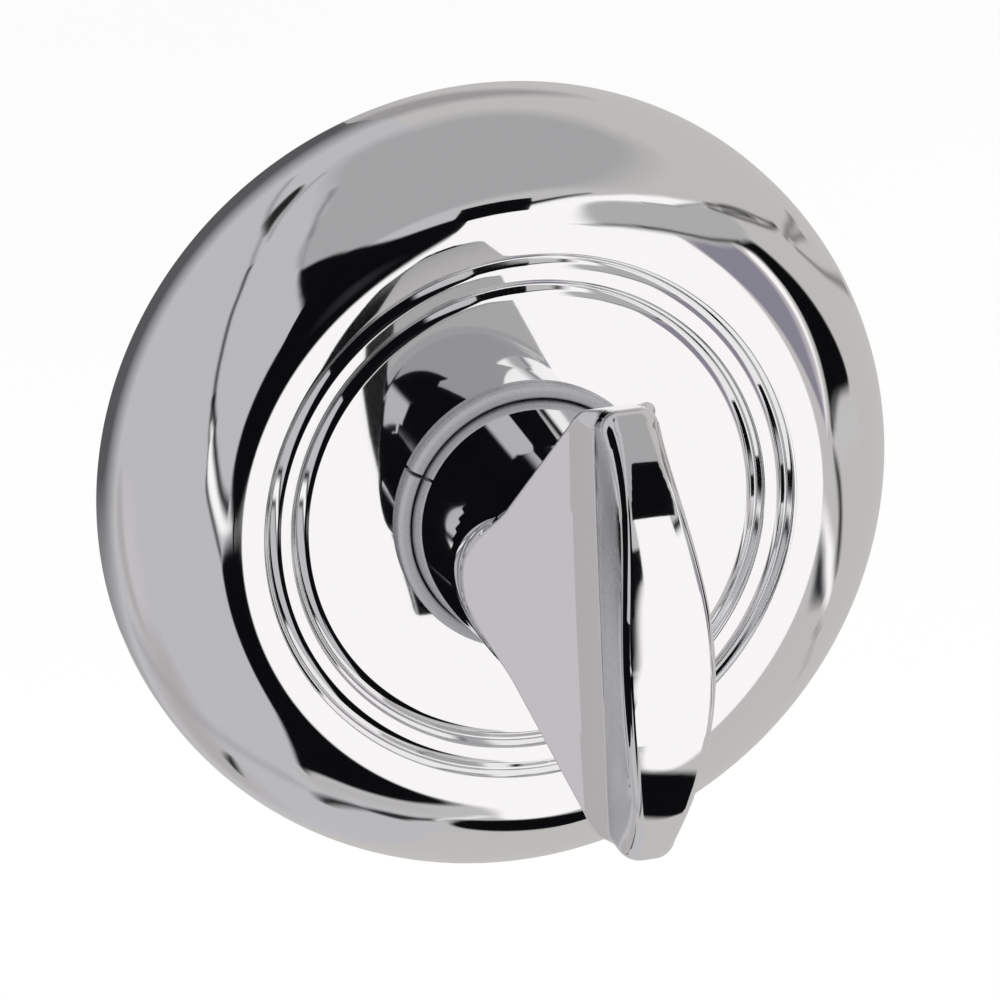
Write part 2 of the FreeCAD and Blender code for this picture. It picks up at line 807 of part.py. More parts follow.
spindle_side = dim("spindle_side")
socket_side = spindle_side + dim("socket_clearance") * 2
socket = box("turn_socket", socket_side, socket_side, shank_end - allowance, "socket_depth")
blade = boolean("Part::Cut", "turn_with_socket", blade, socket)
pin_radius = dim("pin_radius")
pin_depth = shoulder + "pin_rise"
cross_hole = doc.addObject("Part::Cylinder", "turn_cross_hole")
bind(cross_hole, "Radius", pin_radius + "seat_clearance")
bind(cross_hole, "Height", wide_half * 2)
place(cross_hole, -wide_half, -pin_depth, 0, FreeCAD.Rotation(Vector(0, 1, 0), 90))
blade = boolean("Part::Cut", "turn_with_cross_hole", blade, cross_hole)


def turn_edges(shape):
    """Sort the edges of the blade that are rounded, as numbers from 1."""
    found = {"front": [], "end": [], "wing": []}
    for number, edge in enumerate(shape.Edges, start=1):
        middle = edge.CenterOfMass
        surfaces = [face.Surface.TypeId for face in shape.ancestorsOfType(edge, Part.Face)]
        ruled = "Part::GeomBSplineSurface" in surfaces
        level_crossing = abs(middle.x) < NEAR and edge.Curve.TypeId == "Part::GeomLine"
        if -middle.y < wing_root.value:
            continue
        if ruled and "Part::GeomCylinder" in surfaces:
            found["front"].append(number)
        elif ruled and abs(middle.z) > heel_height.value / 2 or level_crossing:
            found["end"].append(number)
        elif not ruled:
            found["wing"].append(number)
    return found


fillet_of = {kind: dim("%s_fillet" % kind).value for kind in ("front", "end", "wing")}
turn = doc.addObject("Part::Fillet", "thumb_turn")
turn.Base = blade
turn.Edges = [(number, fillet_of[kind], fillet_of[kind])
              for kind, numbers in turn_edges(blade.Shape).items() for number in numbers]
doc.recompute()
turn.Label = "thumb_turn"
parts.append(turn)

# Spindle: a square bar with a broken far end, cross drilled for the roll pin.
spindle_front = dim("socket_depth") - allowance / 2
spindle_end = -dim("spindle_reach")
spindle = new_body("spindle")
spindle_sketch = body_sketch(spindle, "spindle_section", "XZ_Plane", spindle_end)
half_side = spindle_side / 2
draw_outline(spindle_sketch, [
    (-half_side, -half_side),
    (half_side, -half_side),
    (half_side, half_side),
    (-half_side, half_side),
])
bar_feature = pad(spindle, "spindle_bar", spindle_sketch, spindle_front - spindle_end)
end_edges = ["Edge%d" % number for number, edge in enumerate(bar_feature.Shape.Edges, start=1)
             if abs(edge.CenterOfMass.y + spindle_end.value) < NEAR]
broken_end = spindle.newObject("PartDesign::Chamfer", "spindle_broken_end")
broken_end.Base = (bar_feature, end_edges)
bind(broken_end, "Size", "spindle_chamfer")
doc.recompute()
spindle_hole = body_sketch(spindle, "spindle_hole_outline", "YZ_Plane")
draw_circle(spindle_hole, -pin_depth, 0, pin_radius + "seat_clearance")
pocket_through(spindle, "spindle_hole", spindle_hole)
parts.append(spindle)

# Roll pin: a slotted spring tube through neck and spindle, flush inside the bush.
pin_half = neck_radius - "pin_end_gap"
pin = new_body("spindle_roll_pin")
pin_sketch = body_sketch(pin, "pin_section", "YZ_Plane")
draw_circle(pin_sketch, -pin_depth, 0, pin_radius)
draw_circle(pin_sketch, -pin_depth, 0, pin_radius - "pin_wall")
pin_tube = pad(pin, "pin_tube", pin_sketch, pin_half * 2)
pin_tube.Midplane = True
doc.recompute()
slot_sketch = body_sketch(pin, "pin_slot_outline", "YZ_Plane")
slot_half = dim("pin_slot") / 2
draw_outline(slot_sketch, [
    (-pin_depth - slot_half, 0),
    (-pin_depth + slot_half, 0),
    (-pin_depth + slot_half, pin_radius * 2),
    (-pin_depth - slot_half, pin_radius * 2),
])
pocket_through(pin, "pin_slot", slot_sketch)
parts.append(pin)

# Sleeve: a nylon square tube that fills the spindle out to the square of a larger lock follower.
sleeve_side = dim("sleeve_side")
sleeve_near = -dim("sleeve_start")
sleeve_far = sleeve_near - "sleeve_length"
sleeve_bore = spindle_side + dim("seat_clearance") * 2
sleeve_body = box("sleeve_body", sleeve_side, sleeve_side, sleeve_far, sleeve_near)
sleeve_hole = box("sleeve_hole", sleeve_bore, sleeve_bore, sleeve_far - allowance, sleeve_near + allowance)
sleeve = boolean("Part::Cut", "sleeve_tube", sleeve_body, sleeve_hole)
sleeve.Label = "spindle_sleeve"
parts.append(sleeve)

# Wood screws: two equal countersunk screws with a cross recess, each in its own hole of the base plate.
screw_tail = screw_boss_top - "screw_length"
point_start = screw_tail + "screw_point"
head_floor = screw_boss_top - head_height
slot_floor = screw_boss_top - "recess_slot_depth"
slot_long, slot_wide = dim("recess_slot_length"), dim("recess_slot_width")
screws = []
for number, side in enumerate((1, -1), start=1):
    shank = cylinder("screw_shank_%d" % number, screw_radius, point_start, screw_boss_top)
    head = doc.addObject("Part::Cone", "screw_head_%d" % number)
    bind(head, "Radius1", screw_radius)
    bind(head, "Radius2", head_radius)
    bind(head, "Height", head_height)
    place(head, 0, -head_floor, 0, FRONT)
    point = doc.addObject("Part::Cone", "screw_point_%d" % number)
    bind(point, "Radius1", "screw_point_radius")
    bind(point, "Radius2", screw_radius)
    bind(point, "Height", "screw_point")
    place(point, 0, -screw_tail, 0, FRONT)
    screw = boolean("Part::Fuse", "screw_with_head_%d" % number, shank, head)
    screw = boolean("Part::Fuse", "screw_with_point_%d" % number, screw, point)
    for name, width, height in (("level", slot_long, slot_wide), ("upright", slot_wide, slot_long)):
        slot = box("screw_slot_%s_%d" % (name, number), width, height, slot_floor, screw_boss_top + allowance)
        screw = boolean("Part::Cut", "screw_cut_%s_%d" % (name, number), screw, slot)
    place(screw, screw_x * side, 0, screw_z * side)
    screws.append(screw)
wood_screws = doc.addObject("Part::Compound", "wood_screws")
wood_screws.Links = screws
wood_screws.Label = "wood_screws"
parts.append(wood_screws)

# Check everything before anything is written
doc.recompute()
for obj in doc.Objects:
    for state in ("Invalid", "Error"):
        if state in obj.State:
            raise RuntimeError("%s is %s" % (obj.Label, state))
for part in parts:
    if part.Shape.isNull() or not part.Shape.isValid():
        raise RuntimeError("%s has no valid shape" % part.Label)

os.makedirs("parts", exist_ok=True)
for part in parts:
    part.Shape.exportStep("parts/%s.step" % part.Label)
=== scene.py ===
import math

import bmesh
import bpy
import numpy as np
from mathutils import Matrix, Vector


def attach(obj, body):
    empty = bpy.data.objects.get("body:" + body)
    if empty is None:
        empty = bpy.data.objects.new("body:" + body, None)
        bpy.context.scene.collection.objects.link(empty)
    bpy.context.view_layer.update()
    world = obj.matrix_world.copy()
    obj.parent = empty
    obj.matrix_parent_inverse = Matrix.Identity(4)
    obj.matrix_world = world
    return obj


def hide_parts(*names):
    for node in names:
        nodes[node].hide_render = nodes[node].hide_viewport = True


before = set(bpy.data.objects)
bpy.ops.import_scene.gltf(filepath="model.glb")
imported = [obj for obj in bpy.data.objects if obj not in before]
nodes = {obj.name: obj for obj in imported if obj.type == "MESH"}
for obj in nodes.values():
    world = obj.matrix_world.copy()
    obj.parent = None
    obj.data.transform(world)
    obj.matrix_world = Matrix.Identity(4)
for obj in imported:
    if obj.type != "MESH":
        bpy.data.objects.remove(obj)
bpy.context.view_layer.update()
bpy.context.scene.view_settings.view_transform = "Standard"

# The view: a long lens in front of the rose, to its left and a little above, held a touch askew.
# The angles are the photograph's. The lens is far enough away that the round rose hardly tapers.
VIEW_TURN, VIEW_RISE, VIEW_LEAN = math.radians(15.5), math.radians(19.7), math.radians(-2.5)
VIEW_DISTANCE = 0.450
SENSOR_WIDTH, FOCAL_PER_WIDTH = 36.0, 7.1028
VIEW_TARGET = Vector((0.0, -0.008, 0.0))
VIEW_OFFSET = (-0.00156, 0.00064)

back = Vector((-math.sin(VIEW_TURN) * math.cos(VIEW_RISE), -math.cos(VIEW_TURN) * math.cos(VIEW_RISE),
               math.sin(VIEW_RISE)))
level = Vector((math.cos(VIEW_TURN), -math.sin(VIEW_TURN), 0.0))
upward = back.cross(level)
across = level * math.cos(VIEW_LEAN) + upward * math.sin(VIEW_LEAN)
upright = upward * math.cos(VIEW_LEAN) - level * math.sin(VIEW_LEAN)
eye = VIEW_TARGET + back * VIEW_DISTANCE
aim = VIEW_TARGET + across * VIEW_OFFSET[0] + upright * VIEW_OFFSET[1]
look = (eye - aim).normalized()
across = (across - look * across.dot(look)).normalized()
camera = bpy.data.objects.new("view_camera", bpy.data.cameras.new("view_camera"))
camera.data.sensor_width = SENSOR_WIDTH
camera.data.lens = SENSOR_WIDTH * FOCAL_PER_WIDTH
camera.data.clip_start, camera.data.clip_end = 0.01, 20.0
camera.matrix_world = (Matrix.Translation(eye)
                       @ Matrix((across, look.cross(across), look)).transposed().to_4x4())
bpy.context.collection.objects.link(camera)
bpy.context.scene.camera = camera


# Cover rose: a shell pressed from sheet brass, polished and chrome plated, that snaps over the base
# plate. Its shoulder rolls from the rim to the crest and falls by two small steps to the flat centre
# disc. At the foot of each step the sheet is drawn into a shallow groove, as the press leaves it.
MM = 0.001
ROSE_RADIUS, ROSE_WALL, ROSE_RIM = 26.0, 1.2, 0.8
CREST_RADIUS, CREST_DEPTH = 18.8, 9.8
LONG_ARC, SHORT_ARC, FLANK_ARC = 9.81, 5.2, 18.78
STEP_RADIUS, STEP_DEPTH, LEDGE_DEPTH = 17.1, 9.74, 9.3
DISC_RADIUS, DISC_DEPTH, RISER_RUN = 15.2, 8.9, 0.3
GROOVE_DEPTH, GROOVE_RUN, GROOVE_ROUND, FOOT_ROUND = 0.3, 0.6, 1.0, 0.12
HOLE_RADIUS, HOLE_ROUND = 8.42, 0.08
LIP_RADIUS, LIP_HEIGHT = 24.0, 1.4
STEP_ROUND, RIM_ROUND, INNER_ROUND = 0.22, 0.15, 0.1
ROSE_TURNS = 360
CHROME_COLOUR, HAZED_COLOUR = (0.88, 0.88, 0.89, 1.0), (0.87, 0.87, 0.88, 1.0)
CHROME_ROUGHNESS, HAZE_ROUGHNESS, DULL_ROUGHNESS = 0.025, 0.02, 0.24


class Wire:
    """A shader socket that can be added and multiplied like a number."""

    def __init__(self, shader, socket):
        self.shader = shader
        self.socket = socket

    def _join(self, operation, left, right):
        made = self.shader.node("ShaderNodeMath", {"operation": operation}, {0: left, 1: right})
        return made.out("Value")

    def __add__(self, other):
        return self._join("ADD", self, other)

    def __radd__(self, other):
        return self._join("ADD", other, self)

    def __mul__(self, other):
        return self._join("MULTIPLY", self, other)


class Made:
    """A node that has been made, with its outputs as wires."""

    def __init__(self, shader, node):
        self.shader = shader
        self.node = node

    def out(self, name):
        return Wire(self.shader, self.node.outputs[name])


class Finish:
    """One surface finish: a material whose nodes come from one method."""

    def __init__(self, name):
        self.material = bpy.data.materials.new(name)
        self.material.use_nodes = True
        self.tree = self.material.node_tree
        self.tree.nodes.clear()
        self.end = self.tree.nodes.new("ShaderNodeOutputMaterial")

    def node(self, kind, settings=None, sockets=None):
        """Make a node: first its settings, then the values or wires of its sockets."""
        node = self.tree.nodes.new(kind)
        for name, value in (settings or {}).items():
            setattr(node, name, value)
        for name, value in (sockets or {}).items():
            if isinstance(value, Wire):
                self.tree.links.new(value.socket, node.inputs[name])
            else:
                node.inputs[name].default_value = value
        return Made(self, node)

    def surface(self, wire):
        self.tree.links.new(wire.socket, self.end.inputs["Surface"])
        return self.material

    def place(self):
        return self.node("ShaderNodeTexCoord").out("Object")

    def noise(self, scale, detail=3.0, roughness=0.5):
        return self.node("ShaderNodeTexNoise", None, {
            "Vector": self.place(), "Scale": scale, "Detail": detail, "Roughness": roughness}).out("Fac")

    def bump(self, height, distance):
        return self.node("ShaderNodeBump", None, {"Height": height, "Distance": distance}).out("Normal")

    def mix(self, share, first, second):
        made = self.node("ShaderNodeMix", {"data_type": "RGBA"}, {0: share, 6: first, 7: second})
        return Wire(self, made.node.outputs[2])

    def principled(self, sockets):
        return self.surface(self.node("ShaderNodeBsdfPrincipled", None, sockets).out("BSDF"))


def polished_chrome(name, unpolished=None):
    """Chrome over polished metal: a mirror with a breath of polishing haze and a very shallow ripple.
    It stays duller where the attribute named by unpolished is above 0, as no polishing wheel gets there."""
    finish = Finish(name)
    haze = finish.noise(260.0, 4.0, 0.6)
    ripple = finish.noise(520.0, 2.0, 0.4)
    roughness = CHROME_ROUGHNESS + haze * HAZE_ROUGHNESS
    if unpolished:
        dull = finish.node("ShaderNodeAttribute", {"attribute_name": unpolished}).out("Fac")
        roughness = roughness + dull * DULL_ROUGHNESS
    return finish.principled({
        "Base Color": finish.mix(haze, HAZED_COLOUR, CHROME_COLOUR),
        "Metallic": 1.0,
        "Roughness": roughness,
        "Normal": finish.bump(ripple, 0.0000012),
    })


def mesh_object(name, points, faces, sharp=32.0):
    """Put points in metres and faces into a smooth-shaded mesh with sharp edges past an angle."""
    mesh = bpy.data.meshes.new(name)
    mesh.from_pydata(points.tolist(), [], faces.tolist() if hasattr(faces, "tolist") else faces)
    mesh.polygons.foreach_set("use_smooth", np.ones(len(mesh.polygons), dtype=bool))
    mesh.set_sharp_from_angle(angle=math.radians(sharp))
    mesh.update()
    piece = bpy.data.objects.new(name, mesh)
    bpy.context.collection.objects.link(piece)
    return piece


def points_of(mesh):
    """All points of a mesh in mm, one row each."""
    points = np.empty(len(mesh.vertices) * 3)
    mesh.vertices.foreach_get("co", points)
    return points.reshape(-1, 3) / MM


def close_up(piece, distance):
    """Merge the points of a piece that are closer than a distance in mm, and turn its faces outwards."""
    built = bmesh.new()
    built.from_mesh(piece.data)
    bmesh.ops.remove_doubles(built, verts=built.verts, dist=distance * MM)
    bmesh.ops.recalc_face_normals(built, faces=built.faces)
    built.to_mesh(piece.data)
    built.free()


def grid_faces(rows, columns):
    """Quads between the points of a grid, which are counted row by row."""
    index = np.arange(rows * columns).reshape(rows, columns)
    return np.stack([index[:-1, :-1], index[1:, :-1], index[1:, 1:], index[:-1, 1:]], axis=-1).reshape(-1, 4)


def finish_piece(piece, body, material, slot, *replaced):
    """Give a new piece its finish, its body and the CAD nodes that it stands for. The slot is not used."""
    piece.data.materials.append(material)
    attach(piece, body)
    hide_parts(*replaced)


def arc(centre, radius, start, end, count):
    """Points of a circular arc. The angles are in degrees, from the radius axis to the depth axis."""
    turn = np.radians(np.linspace(start, end, count))
    return np.stack([centre[0] + radius * np.cos(turn), centre[1] + radius * np.sin(turn)], axis=1)


def rounded(corners, steps=5, guard=0.03):
    """Round a closed profile. Each corner is (radius, depth, rounding).

    A corner is cut back along both sides by its rounding times the tangent of half the turn, and an
    arc joins the two ends. A guard point just outside each end keeps the flats beside it flat.
    """
    points = np.array([corner[:2] for corner in corners], dtype=float)
    result = []
    for here, corner in enumerate(corners):
        point = points[here]
        before, after = points[here - 1] - point, points[(here + 1) % len(points)] - point
        reach_before, reach_after = np.linalg.norm(before), np.linalg.norm(after)
        if corner[2] == 0.0:
            result.append(point)
            continue
        before, after = before / reach_before, after / reach_after
        half = math.acos(max(-1.0, min(1.0, float(before @ after)))) / 2
        cut = min(corner[2] / math.tan(half), 0.45 * reach_before, 0.45 * reach_after)
        middle = (before + after) / np.linalg.norm(before + after)
        centre = point + middle * cut / math.cos(half)
        first, last = point + before * cut, point + after * cut
        lean = first - centre
        swing = math.pi - 2 * half
        side = np.sign(lean[0] * (last - centre)[1] - lean[1] * (last - centre)[0])
        result.append(first + before * min(guard, 0.4 * reach_before))
        for share in np.linspace(0.0, 1.0, steps):
            turn = side * swing * share
            result.append(centre + np.array([lean[0] * math.cos(turn) - lean[1] * math.sin(turn),
                                             lean[0] * math.sin(turn) + lean[1] * math.cos(turn)]))
        result.append(last + after * min(guard, 0.4 * reach_after))
    return np.array(result)


def lathe(name, profile, turns, start=0.0, sweep=360.0):
    """Turn a closed profile of (radius, depth) points in mm about the axis, whole or as an open ring.

    x is the radius times the cosine of the angle, z its sine, and y is minus the depth. Quads join
    neighbouring points of neighbouring turns, and an open ring gets its two ends closed.
    """
    whole = sweep >= 360.0
    count = len(profile)
    angle = np.radians(start + np.linspace(0.0, sweep, turns + (0 if whole else 1), endpoint=not whole))
    radius, depth = profile[:, 0], profile[:, 1]
    points = np.stack([np.outer(np.cos(angle), radius), np.repeat(-depth[None, :], len(angle), axis=0),
                       np.outer(np.sin(angle), radius)], axis=-1).reshape(-1, 3) * MM
    turn = np.arange(len(angle) if whole else len(angle) - 1)[:, None]
    step = np.arange(count)[None, :]
    after_turn, after_step = (turn + 1) % len(angle), (step + 1) % count
    quads = np.stack([turn * count + step, turn * count + after_step,
                      after_turn * count + after_step, after_turn * count + step], axis=-1).reshape(-1, 4)
    area = np.sum(radius * np.roll(depth, -1) - np.roll(radius, -1) * depth)
    faces = (quads if area < 0 else quads[:, ::-1]).tolist()
    if not whole:
        first, last = list(range(count)), list(range((len(angle) - 1) * count, len(angle) * count))
        faces += [first[::-1], last] if area < 0 else [first, last[::-1]]
    return mesh_object(name, points, faces)


rise = CREST_DEPTH - SHORT_ARC - ROSE_RIM
reach = CREST_RADIUS - (ROSE_RADIUS - LONG_ARC)
roll = math.degrees(math.atan2(rise, reach))
long_centre, short_centre = (ROSE_RADIUS - LONG_ARC, ROSE_RIM), (CREST_RADIUS, CREST_DEPTH - SHORT_ARC)
flank_centre = (CREST_RADIUS, CREST_DEPTH - FLANK_ARC)
flank_tilt = math.degrees(math.asin((CREST_RADIUS - STEP_RADIUS - RISER_RUN) / FLANK_ARC))
outside = np.concatenate([
    arc(long_centre, LONG_ARC, 0.0, roll, 49),
    arc(short_centre, SHORT_ARC, roll, 90.0, 65)[1:],
    arc(flank_centre, FLANK_ARC, 90.0, 90.0 + flank_tilt, 13)[1:-1],
])
inside = np.concatenate([
    arc(short_centre, SHORT_ARC - ROSE_WALL, 90.0, roll, 25),
    arc(long_centre, LONG_ARC - ROSE_WALL, roll, 0.0, 17)[1:],
])


def smooth_run(points):
    """Profile corners that stay as they are, because they already follow a curve."""
    return [(radius, depth, 0.0) for radius, depth in points]


rose_profile = rounded(
    [(ROSE_RADIUS, 0.0, RIM_ROUND)] + smooth_run(outside)
    + [(STEP_RADIUS + RISER_RUN, STEP_DEPTH, STEP_ROUND),
       (STEP_RADIUS, LEDGE_DEPTH - GROOVE_DEPTH, FOOT_ROUND),
       (STEP_RADIUS - GROOVE_RUN, LEDGE_DEPTH, GROOVE_ROUND),
       (DISC_RADIUS + RISER_RUN, LEDGE_DEPTH, STEP_ROUND),
       (DISC_RADIUS, DISC_DEPTH - GROOVE_DEPTH, FOOT_ROUND),
       (DISC_RADIUS - GROOVE_RUN, DISC_DEPTH, GROOVE_ROUND),
       (HOLE_RADIUS, DISC_DEPTH, HOLE_ROUND), (HOLE_RADIUS, DISC_DEPTH - ROSE_WALL, HOLE_ROUND),
       (STEP_RADIUS - RISER_RUN, DISC_DEPTH - ROSE_WALL, INNER_ROUND)]
    + smooth_run(inside)
    + [(ROSE_RADIUS - ROSE_WALL, LIP_HEIGHT, 0.0), (LIP_RADIUS, LIP_HEIGHT, INNER_ROUND),
       (LIP_RADIUS, 0.0, INNER_ROUND)])
finish_piece(lathe("chrome_rose", rose_profile, ROSE_TURNS), "rose", polished_chrome("rose_chrome"),
             "polished_chrome", "cover_rose")

# Neck bush: a pale grey nylon collar that lines the hole of the rose for the neck of the turn. It is
# moulded with one split, so that it can be squeezed through the hole, and snaps behind the disc.
COLLAR_BORE, COLLAR_BARREL, COLLAR_BRIM = 7.96, 8.4, 8.75
COLLAR_END, COLLAR_TOP, COLLAR_BEAD, COLLAR_ROUND = 7.0, 9.8, 0.25, 0.45
COLLAR_SPLIT, COLLAR_SPLIT_ANGLE, COLLAR_PLAY, COLLAR_TURNS = 0.25, 152.0, 0.02, 180
PLASTIC_GRAIN = 3600.0


def moulded_plastic(name, colour, patchy, roughness):
    """Moulded plastic: an even colour that drifts a little, and a fine satin grain from the mould."""
    finish = Finish(name)
    drift = finish.noise(140.0, 3.0, 0.5)
    fine = finish.noise(PLASTIC_GRAIN, 4.0, 0.65)
    return finish.principled({
        "Base Color": finish.mix(drift, colour, patchy),
        "Roughness": roughness + fine * 0.12,
        "Specular IOR Level": 0.45,
        "Normal": finish.bump(fine, 0.000006),
    })


collar_profile = rounded([
    (COLLAR_BORE, COLLAR_END, 0.1),
    (COLLAR_BARREL, COLLAR_END, 0.1),
    (COLLAR_BARREL + COLLAR_BEAD, COLLAR_END + COLLAR_BEAD, 0.08),
    (COLLAR_BARREL + COLLAR_BEAD, DISC_DEPTH - ROSE_WALL - COLLAR_PLAY, 0.04),
    (COLLAR_BARREL, DISC_DEPTH - ROSE_WALL - COLLAR_PLAY, 0.0),
    (COLLAR_BARREL, DISC_DEPTH, 0.0),
    (COLLAR_BRIM, DISC_DEPTH, 0.04),
    (COLLAR_BRIM, COLLAR_TOP, COLLAR_ROUND),
    (COLLAR_BORE, COLLAR_TOP, 0.2),
], steps=9)
split_half = math.degrees(COLLAR_SPLIT / 2 / COLLAR_BARREL)
grey_nylon = moulded_plastic("grey_nylon", (0.35, 0.345, 0.375, 1.0), (0.42, 0.415, 0.44, 1.0), 0.22)
collar = lathe("split_collar", collar_profile, COLLAR_TURNS, COLLAR_SPLIT_ANGLE + split_half,
               360.0 - 2 * split_half)
finish_piece(collar, "rose", grey_nylon, "grey_nylon", "neck_bush")

# Thumb turn: one zinc casting, ground, polished and chrome plated. A round neck opens into a blade
# with flat drafted sides, two wings and a boat-shaped front bar with an arched edge. Behind the rose
# the neck steps down to the shank, with the circlip's groove and the square socket for the spindle.
NECK_RADIUS, NECK_FLARE, FLARE_START, FLARE_END = 7.4, 0.5, 9.8, 17.0
SHANK_RADIUS, SHOULDER_DEPTH, FOOT_CHAMFER, SHANK_END, SHANK_CHAMFER = 6.0, 6.3, 0.1, -1.6, 0.4
CLIP_GROOVE_RADIUS, CLIP_BACK, CLIP_FRONT = 5.5, 0.2, 1.2
SOCKET_HALF, SOCKET_DEPTH = 3.03, 14.0
WING_ROOT, FAN_INSET, HEEL_DEPTH, TIP_DEPTH, APEX_DEPTH = 18.0, 1.0, 29.4, 32.8, 39.1
HEEL_HEIGHT, TIP_HEIGHT, HEEL_HALF, SIDE_DRAFT = 13.8, 14.6, 2.45, 24.0
HEM_DEPTH, HEM_DRAFT, FOLD_RUN = 28.6, 20.0, 1.6
FRONT_HALF, FRONT_END, FRONT_LENGTH, FRONT_CROWN, BAR_OVERRUN = 3.1, 0.4, 13.5, 0.12, 1.0
FRONT_ARC = ((APEX_DEPTH - TIP_DEPTH) ** 2 + TIP_HEIGHT ** 2) / (2 * (APEX_DEPTH - TIP_DEPTH))
WING_ROUND, END_ROUND, TIP_ROUND, FRONT_ROUND, FOLD_ROUND = 0.35, 1.2, 1.8, 0.55, 0.6
ROUNDING_DEPTHS = (HEEL_DEPTH - 0.4, HEEL_DEPTH + 1.6, TIP_DEPTH + 0.8, TIP_DEPTH + 3.6)
HEEL_ANGLE, TIP_ANGLE, FOLD_ANGLE = 37.0, 56.0, 27.0
HOLLOW_FADE, HOLLOW_SKIN, TURN_WELD, TURN_SHARP = 0.8, 0.1, 0.003, 40.0
draft, hem_draft = math.tan(math.radians(SIDE_DRAFT)), math.tan(math.radians(HEM_DRAFT))
HEM_HALF, FOLD_DEPTH = HEEL_HALF + (HEEL_DEPTH - HEM_DEPTH) * draft, HEEL_DEPTH + FOLD_RUN
FOLD_HALF = HEM_HALF - (FOLD_DEPTH - HEM_DEPTH) * hem_draft


def round_corner(first, second, angle):
    """Distance from a rounding's centre line, for distances from two planes through that line whose
    slopes are an angle in degrees apart, and whether the nearest point lies on the rounding itself."""
    lean = math.cos(math.radians(angle))
    square = first ** 2 + second ** 2 - 2 * lean * first * second
    return (np.sqrt(np.maximum(square, 0.0)) / math.sin(math.radians(angle)),
            (first > lean * second) & (second > lean * first))


def round_meet(first, second, radius, angle=90.0):
    """What two shapes have in common, with the edge between them rounded."""
    reach, on_rounding = round_corner(first + radius, second + radius, angle)
    return np.where(on_rounding, reach - radius, np.maximum(first, second))


def round_join(first, second, radius, angle=90.0):
    """Two shapes together, with the hollow corner between them filled by a rounding."""
    reach, on_rounding = round_corner(radius - first, radius - second, angle)
    return np.where(on_rounding, radius - reach, np.minimum(first, second))


def bar_half(depth, height):
    """Half the front bar's thickness. It grows in a straight line, from the even fold to the lens of two
    arcs beyond the front edge."""
    share = (depth - FOLD_DEPTH) / (APEX_DEPTH + BAR_OVERRUN - FOLD_DEPTH)
    swell = FRONT_HALF - FRONT_END
    lens_arc = (swell ** 2 + FRONT_LENGTH ** 2) / (2 * swell)
    reach = (TIP_HEIGHT + BAR_OVERRUN) * (1 - share) + FRONT_LENGTH * share
    along = np.clip(np.abs(height) / reach, 0.0, 1.0) * math.asin(FRONT_LENGTH / lens_arc)
    lens = FRONT_HALF - lens_arc * (1 - np.cos(along))
    return FOLD_HALF * (1 - share) + lens * share


def turn_distance(point):
    """Signed distance in mm from the turn's surface for points of (x, depth, z), with rounded edges."""
    x, depth, z = np.abs(point[..., 0]), point[..., 1], np.abs(point[..., 2])
    flare = np.clip((FLARE_END - depth) / (FLARE_END - FLARE_START), 0.0, 1.0)
    neck = np.maximum(np.hypot(x, z) - (NECK_RADIUS + NECK_FLARE * flare), depth - HEEL_DEPTH)
    wing = np.array([HEEL_DEPTH - WING_ROOT, HEEL_HEIGHT]) / math.hypot(HEEL_DEPTH - WING_ROOT, HEEL_HEIGHT)
    wing_back = wing[0] * z - wing[1] * (depth - WING_ROOT)
    end = np.array([TIP_DEPTH - HEEL_DEPTH, TIP_HEIGHT - HEEL_HEIGHT])
    end = end / np.linalg.norm(end)
    end_face = end[0] * (z - HEEL_HEIGHT) - end[1] * (depth - HEEL_DEPTH)
    half = bar_half(np.maximum(depth, FOLD_DEPTH), z)
    crown = FRONT_CROWN * x ** 2 / (FRONT_HALF * half)
    front = np.hypot(depth + crown - APEX_DEPTH + FRONT_ARC, z) - FRONT_ARC
    fan = round_meet(round_meet(wing_back, end_face, END_ROUND, HEEL_ANGLE), front, TIP_ROUND, TIP_ANGLE)
    stem = round_join(neck, np.maximum(fan, WING_ROOT + FAN_INSET - depth), WING_ROUND)
    flat = (x - HEEL_HALF - (HEEL_DEPTH - depth) * draft) * math.cos(math.radians(SIDE_DRAFT))
    hem = (x - HEM_HALF - (HEM_DEPTH - depth) * hem_draft) * math.cos(math.radians(HEM_DRAFT))
    side = round_join(np.minimum(flat, hem), x - half, FOLD_ROUND, FOLD_ANGLE)
    rounding = np.interp(depth, ROUNDING_DEPTHS, [WING_ROUND, END_ROUND, END_ROUND, FRONT_ROUND])
    return round_meet(stem, side, rounding)


def turn_gradient(point):
    """The distance's slope in x, depth and z, from differences over a very short way."""
    step = 0.0005
    ways = np.eye(3) * step
    rises = [(turn_distance(point + way) - turn_distance(point - way)) / (2 * step) for way in ways]
    return np.stack(rises, axis=-1)


def settle(points, attempts):
    """Move points onto the turn's surface, each by its distance along the slope, several times over."""
    for attempt in range(attempts):
        slope = turn_gradient(points)
        points -= slope * (turn_distance(points) / np.maximum((slope ** 2).sum(-1), 1e-6))[..., None]


def crowd(count, start=True, end=True):
    """Shares from 0 to 1 that crowd towards one end or both, where the roundings are."""
    even = np.linspace(0.0, 1.0, count + 1)
    if start and end:
        return 0.5 - 0.5 * np.cos(np.pi * even)
    return np.sin(np.pi / 2 * even) if end else 1 - np.cos(np.pi / 2 * even)


def run(first, last, shares):
    """Points on the straight way between two points."""
    first, last = np.array(first, dtype=float), np.array(last, dtype=float)
    return first + (last - first) * shares[:, None]


